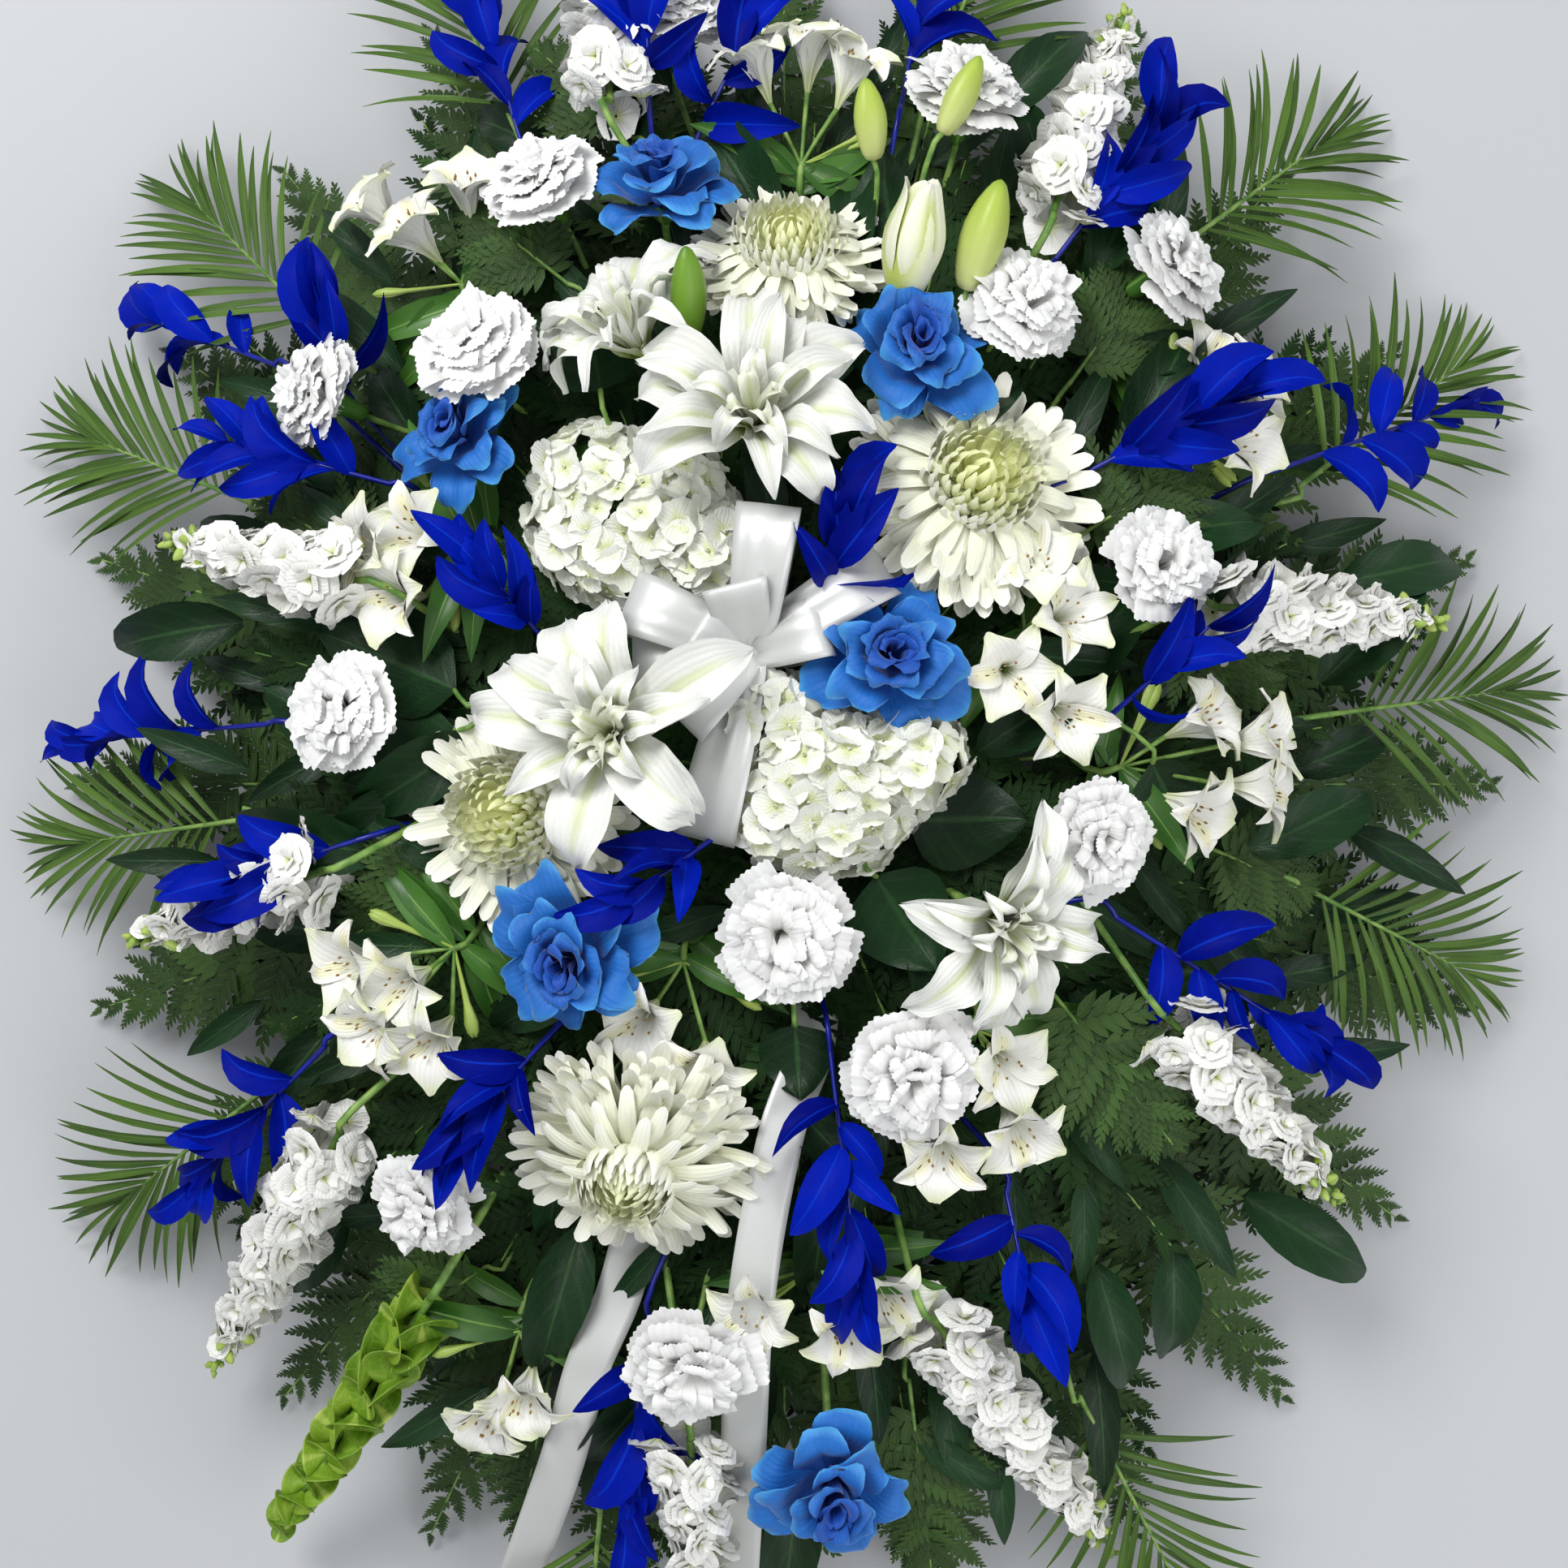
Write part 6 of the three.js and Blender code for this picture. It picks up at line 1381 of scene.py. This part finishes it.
# Each row: the group, where the frond starts and ends, its width, and its lift.
FERNS = [
    ("ferns_1", (700, 350), (575, 255), 56, -22), ("ferns_1", (780, 170), (660, 60), 56, -30),
    ("ferns_1", (470, 700), (330, 620), 56, -34), ("ferns_2", (1320, 470), (1420, 330), 54, -30),
    ("ferns_2", (1330, 660), (1480, 570), 62, -16), ("ferns_2", (1450, 770), (1560, 850), 58, -36),
    ("ferns_3", (1290, 1215), (1445, 1410), 74, -14), ("ferns_3", (1480, 1040), (1610, 1100), 58, -40),
    ("ferns_3", (1120, 1700), (1150, 1960), 66, -30), ("ferns_4", (560, 1080), (440, 1150), 58, -40),
    ("ferns_4", (600, 1560), (470, 1640), 58, -40), ("ferns_4", (680, 1680), (640, 1900), 60, -40)]
for node, source, tip, width, lift in FERNS:
    line = sprig_line(source, tip, lift, -12, 8)
    frond(bag_for(node), line, width * 1.3 * MM, FERN, source[0])
    add_stem(bag_for(node), node, line[0], 0.0016, line[1] - line[0], STEM, source[0])
print("fern fronds:", len(FERNS))

# %% [markdown]
# A broad leaf is one large petal of this script, green, leathery and cupped. It is stood by two
# directions: along the leaf, and the way its upper side faces.

# %% Broad leaves
BROAD_WIDTHS = np.array([0.08, 0.8, 1.0, 0.82, 0.45, 0.02])
# Each row: the group, where the leaf starts and ends, its width, and its lift.
BROADS = [
    ("broad_leaves_1", (740, 480), (722, 400), 44, -16), ("broad_leaves_1", (560, 850), (400, 780), 58, -30),
    ("broad_leaves_1", (560, 900), (430, 960), 60, -34), ("broad_leaves_1", (420, 920), (330, 850), 48, -50),
    ("broad_leaves_2", (925, 190), (915, 120), 40, -48),
    ("broad_leaves_2", (1100, 300), (1090, 190), 44, -22),
    ("broad_leaves_2", (1120, 1010), (1260, 1010), 60, -26),
    ("broad_leaves_2", (1080, 1080), (1150, 1190), 62, -24),
    ("broad_leaves_2", (980, 1264), (985, 1350), 44, -18),
    ("broad_leaves_2", (1420, 940), (1480, 1040), 46, -22)]
for node, source, tip, width, lift in BROADS:
    foot, end = on_dome(source, lift), on_dome(tip, lift)
    length = np.linalg.norm(end - foot) / MM
    axis = unit(np.cross(end - foot, unit(np.cross(facing(foot), end - foot))) * -1)
    skin = petal([(0, 0), (length * 0.35, 5), (length * 0.75, 6), (length * 1.05, -2)],
                 BROAD_WIDTHS * width / 2, rows=12, cols=8, cup=0.22, fold=0.05,
                 ruffle=1.6, folds=1.2, phase=source[0])
    ahead, side = unit(end - foot), unit(np.cross(axis, end - foot))
    at = (np.stack([ahead, side, np.cross(ahead, side)], 1), foot)
    bag_for(node).grid(skin, BROAD, 0, seeded(str(source)).uniform(), at)
    add_stem(bag_for(node), node, foot, 0.0016, ahead, STEM, source[0])
print("broad leaves:", len(BROADS))

# %% [markdown]
# Bells of Ireland carries green bells in a close spiral, smaller towards the tip. The bell is one
# closed skin, its outside and its inside.

# %% Bells of Ireland
node, source, tip = "bells_of_ireland", (530, 1600), (345, 1880)
foot, end = on_dome(source, -20), on_dome(tip, 4)
line, bag = line_through([foot, (foot + end) / 2 + UP * 0.006, end], 12), bag_for(node)
bells = grow(SPRIG, line, Leaf=BELL_SHAPE, Material=BELL, Count=34, First=0.03, Turn=GOLDEN,
             Base_Angle=1.35, Tip_Angle=0.8, Base_Size=0.00108, Middle_Size=0.00098, Tip_Size=0.00055,
             Size_Change=0.1, Tilt=0.15, Spin=3.0, Seed=5)
bag.shape(bells, BELL)
bag.grid(tube(line, [0.0028, 0.0015]), STEM, closed=True)
add_stem(bag, node, foot, 0.0026, end - foot)
print("the bells grew", len(bells["sizes"]), "faces")

# %% [markdown]
# ## The greens underneath
# Before any flower goes in, the florist hides the foam with fern and leaves. Without them the spray
# would show the table through its gaps, so fronds fan out from the foam in four rings, with loose
# leaves between them. The deeper rings are darker: painted shade. Each quarter of the spray is one piece.

# %% Fern and leaves that fill the spray
FERN_QUARTERS = ["ferns_2", "ferns_1", "ferns_4", "ferns_3"]
LOOSE_LEAVES, LOOSE_REACH = 190, 0.84
# Each ring: its fronds, where they start and end between the middle and the rim, their lift and width,
# the turn of the first, and the paint.
# The darker fern paint of the deeper rings is painted shade.
FILL = [(24, 0.52, 1.02, -45, 0.125, 1.0, FERN), (16, 0.50, 0.94, -85, 0.130, 0.5, FERN_PAINTED_SHADE),
        (22, 0.30, 0.78, -50, 0.125, 0.3, FERN_PAINTED_SHADE), (14, 0.02, 0.50, -48, 0.120, 0.6, FERN_PAINTED_SHADE)]


def seen_at(share, angle):
    """The picture place at a share of the way from the middle to the rim."""
    scale = (EYE_HEIGHT - DOME_RIM) / PICTURE_FOCUS
    return (PICTURE_MIDDLE + DOME_X * share * math.cos(angle) / scale,
            PICTURE_MIDDLE - DOME_Y * share * math.sin(angle) / scale)


def quarter(angle):
    """The bag of the quarter of the spray that an angle falls in."""
    return bag_for(FERN_QUARTERS[int(angle % (2 * math.pi) // (math.pi / 2))])


rng = np.random.default_rng(11)
for count, start, stop, lift, width, turn, paint in FILL:
    for k in range(count):
        angle = 2 * math.pi * (k + turn) / count
        bag = quarter(angle)
        line = sprig_line(seen_at(start, angle), seen_at(stop, angle), lift, -12, 8)
        frond(bag, line, width, paint, int(rng.integers(1, 999)), 24 if paint is FERN else 18)
        mouth, root = root_at(line[0], k % 7)
        bag.grid(tube(line_through([root, mouth, line[0]], 6), [0.0018, 0.0015], 5), STEM, closed=True)
for k in range(LOOSE_LEAVES):
    share, angle = math.sqrt((k + 0.5) / LOOSE_LEAVES) * LOOSE_REACH, k * GOLDEN
    spin, size, low = rng.uniform(-0.8, 0.8), rng.uniform(0.06, 0.095), rng.uniform(-80, -36)
    way = [math.cos(angle + spin), math.sin(angle + spin), rng.uniform(-0.25, 0.02)]
    leaf = GREEN_LEAF if k % 3 else RUSCUS_LEAF
    leaf_at(quarter(angle), on_dome(seen_at(share, angle), low), way, size, leaf, BROAD, rng)
print("filling fronds:", sum(ring[0] for ring in FILL))

# %% [markdown]
# ## From bags to pieces
# Every group is grown by now. Each bag becomes one mesh with its own paints, and takes the place of the
# group's solid.

# %% Make the pieces
triangles = {}
for node, bag in bags.items():
    piece = piece_of(node + "_bloom", bag, node)
    triangles[piece.name] = int(sum((skin[2] - 2).sum() for skin in bag.skins))
largest = max(triangles, key=triangles.get)
print("pieces:", len(triangles), "triangles:", sum(triangles.values()))
print("the largest is", largest, "with", triangles[largest], "triangles")

# %% [markdown]
# ## The satin ribbon
# A florist's bow is one length of satin, looped and pinched at a knot, with two long tails. Each
# loop rises from the knot, rounds over at its far end and comes back underneath. The bands keep their
# width, as cloth does, but for the pinch, and get their thickness from a Solidify modifier.

# %% A band of satin
BOW_WIDE, TAIL_WIDE, SATIN_THICK = 0.037, 0.027, 0.0005


def band_piece(name, strips, node):
    """Bands of satin as one closed thin piece."""
    bag = Bag()
    for points in strips:
        bag.grid(points, SATIN)
    piece = piece_of(name, bag, node, SATIN_THICK)


# %% The bow
STEPS_ALONG, STEPS_ACROSS = 37, 9
# The share of a full turn that a loop makes, its largest half height, and how soon it is at full width.
LOOP_TURN, LOOP_HIGH, PINCH = 0.94, 0.030, 0.45


def loop_strip(knot, tip, rise, turn, width):
    """One loop of the bow, from the knot out to a tip in the picture and back, as a grid."""
    out = on_dome(tip, -10) - knot
    out[2] = 0
    reach, out = np.linalg.norm(out), unit(out)
    side = np.array([-out[1], out[0], 0])
    side = side * math.cos(math.radians(turn)) + np.cross(out, side) * math.sin(math.radians(turn))
    angle = np.linspace(-1, 1, STEPS_ALONG) * math.pi * LOOP_TURN
    away = reach * (1 + np.cos(angle)) / 2
    high = rise * MM * (1 + np.cos(angle)) / 2 + min(LOOP_HIGH, 0.42 * reach) * np.sin(angle)
    centre = knot + away[:, None] * out + high[:, None] * UP
    pinch = np.sin(math.pi * (0.06 + 0.88 * np.linspace(0, 1, STEPS_ALONG))) ** PINCH
    a = np.linspace(-1, 1, STEPS_ACROSS)
    gather = (1 - pinch)[:, None] * 0.009 * np.sin(a * 7) + 0.0012 * np.sin(a * 3 + 1)
    band = centre[:, None] + side * (a[None, :, None] * (width / 2 * pinch)[:, None, None])
    return band + UP * gather[..., None]


KNOT = on_dome((925, 803), -26)
# Each loop: where its far end is in the picture, how high it rises, and how far it leans over.
LOOPS = [((948, 628), 36, -12), ((906, 726), 50, -10), ((868, 766), 38, 6), ((774, 742), 22, 9),
         ((780, 808), 14, 14), ((1018, 772), 30, -15), ((1094, 698), 12, -18), ((838, 888), 24, 17),
         ((866, 1036), 4, 14)]
strips = [loop_strip(KNOT, tip, rise, turn, BOW_WIDE) for tip, rise, turn in LOOPS]
band_piece("satin_bow", strips, "ribbon_bow")

# %% The knot and the tails


def tail_strip(seen, lifts, width, phase):
    """A tail that hangs over the flowers along its places in the picture and rolls a little."""
    points = [on_dome(place, lift) for place, lift in zip(seen, lifts)]
    centre = line_through(points, 60)
    t = np.linspace(0, 1, 61)
    ahead = np.gradient(centre, axis=0)
    side = np.cross(ahead, UP)
    side /= np.linalg.norm(side, axis=1, keepdims=True)
    roll = 0.25 * np.sin(5 * t + phase)
    side = side * np.cos(roll)[:, None] + UP * np.sin(roll)[:, None]
    a = np.linspace(-1, 1, 7)
    return centre[:, None] + side[:, None] * (a[None, :, None] * width / 2)


# Each tail: its places in the picture from its root to its end, and its lift at each of them.
TAILS = {
    "satin_tail_right": ([(1006, 1190), (1000, 1290), (962, 1400), (926, 1600), (915, 1807), (905, 2000)],
                         [-62, -40, -16, -10, -14, -20]),
    "satin_tail_left": ([(792, 1480), (764, 1590), (722, 1690), (690, 1807), (625, 1985)],
                        [-58, -42, -26, -20, -20])}
for k, (name, (seen, lifts)) in enumerate(TAILS.items()):
    strip = tail_strip(seen, lifts, TAIL_WIDE, 2.0 * k)
    band_piece(name, [strip], "ribbon_tails")
bag = Bag()
knot = turned_shape([(0.5, -13), (8, -10), (11, 0), (8, 10), (0.5, 13)], around=16, waves=4, depth=0.06)
bag.grid(knot, SATIN, at=stand(KNOT, UP, 0), closed=True)
add_stem(bag, "ribbon_bow", KNOT, 0.0022)
piece_of("satin_knot", bag, "ribbon_bow")
print("ribbon pieces made")

# %% [markdown]
# ## The holder
# The tray, the cage and the foam are right as solids, so they keep their shapes and only get their
# finishes: moulded plastic and open-celled wet foam.

# %% Finishes of the holder
for node, paint in {"holder_tray": PLASTIC, "holder_cage": PLASTIC, "foam_block": FOAM}.items():
    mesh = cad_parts[node].data
    mesh.materials.clear()
    mesh.materials.append(paint)
for shape in seed_shapes:
    bpy.data.objects.remove(shape)
print("holder finished, small shapes removed")

# %% [markdown]
# ## Floor, light and camera
# The camera hangs above the spray where the picture was taken from. A large soft light at the top
# left shapes the petals, a weaker one fills from the other side, and a pale sky does the rest.

# %% The floor
FLOOR_HALF, FLOOR_DROP = 4, 0.0004


def floor_paint():
    p = Paint("pale studio floor", Roughness=0.7)
    grain = p.noise(6.0, 5.0)
    return p.finish(p.mix(grain * 0.25, colour("c4c6c9"), colour("b9bcc0")), 0.7, grain, 0.02)


bag = Bag()
side = np.linspace(-FLOOR_HALF, FLOOR_HALF, 9)
floor_points = np.stack([*np.meshgrid(side, side), np.full((9, 9), -FLOOR_DROP)], -1).transpose(1, 0, 2)
bag.grid(floor_points, floor_paint())
floor = bpy.data.objects.new("studio_floor", bag.mesh("studio_floor"))
scene.collection.objects.link(floor)
floor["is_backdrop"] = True
print("the floor is", 2 * FLOOR_HALF, "m wide")

# %% Sky and lights
SKY_STRENGTH = 0.60
world = bpy.data.worlds.new("pale sky")
world.use_nodes = True
sky = world.node_tree.nodes["Background"]
sky.inputs["Color"].default_value = colour("e6e8ea")
sky.inputs["Strength"].default_value = SKY_STRENGTH
scene.world = world
scene.view_settings.view_transform = "Standard"


def soft_light(name, place, size, watts):
    """A round light that looks at the middle of the spray."""
    data = bpy.data.lights.new(name, "AREA")
    data.shape, data.size, data.energy = "DISK", size, watts
    lamp = bpy.data.objects.new(name, data)
    lamp.location = place
    lamp.rotation_mode = "QUATERNION"
    lamp.rotation_quaternion = (-lamp.location).to_track_quat("-Z", "Y")
    scene.collection.objects.link(lamp)


soft_light("key", (-0.9, 1.3, 2.2), 1.3, 47)
soft_light("fill", (1.5, -0.9, 1.8), 2.0, 20)

# %% The camera
SENSOR_WIDE = 36
camera_data = bpy.data.cameras.new("camera")
camera_data.sensor_width = SENSOR_WIDE
camera_data.lens = SENSOR_WIDE * PICTURE_FOCUS / PICTURE_WIDE
camera = bpy.data.objects.new("camera", camera_data)
camera.location = (0, 0, EYE_HEIGHT)
scene.collection.objects.link(camera)
scene.camera = camera
print("camera height", EYE_HEIGHT, "m, lens", round(camera_data.lens, 1), "mm")

# %% [markdown]
# ## The last measure
# The petals should fill the box of the solids and hardly leave it, so the box of what is shown is printed.

# %% Measure and finish
low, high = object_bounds()
print("visual box", [round(v, 3) for v in (*low, *high)])
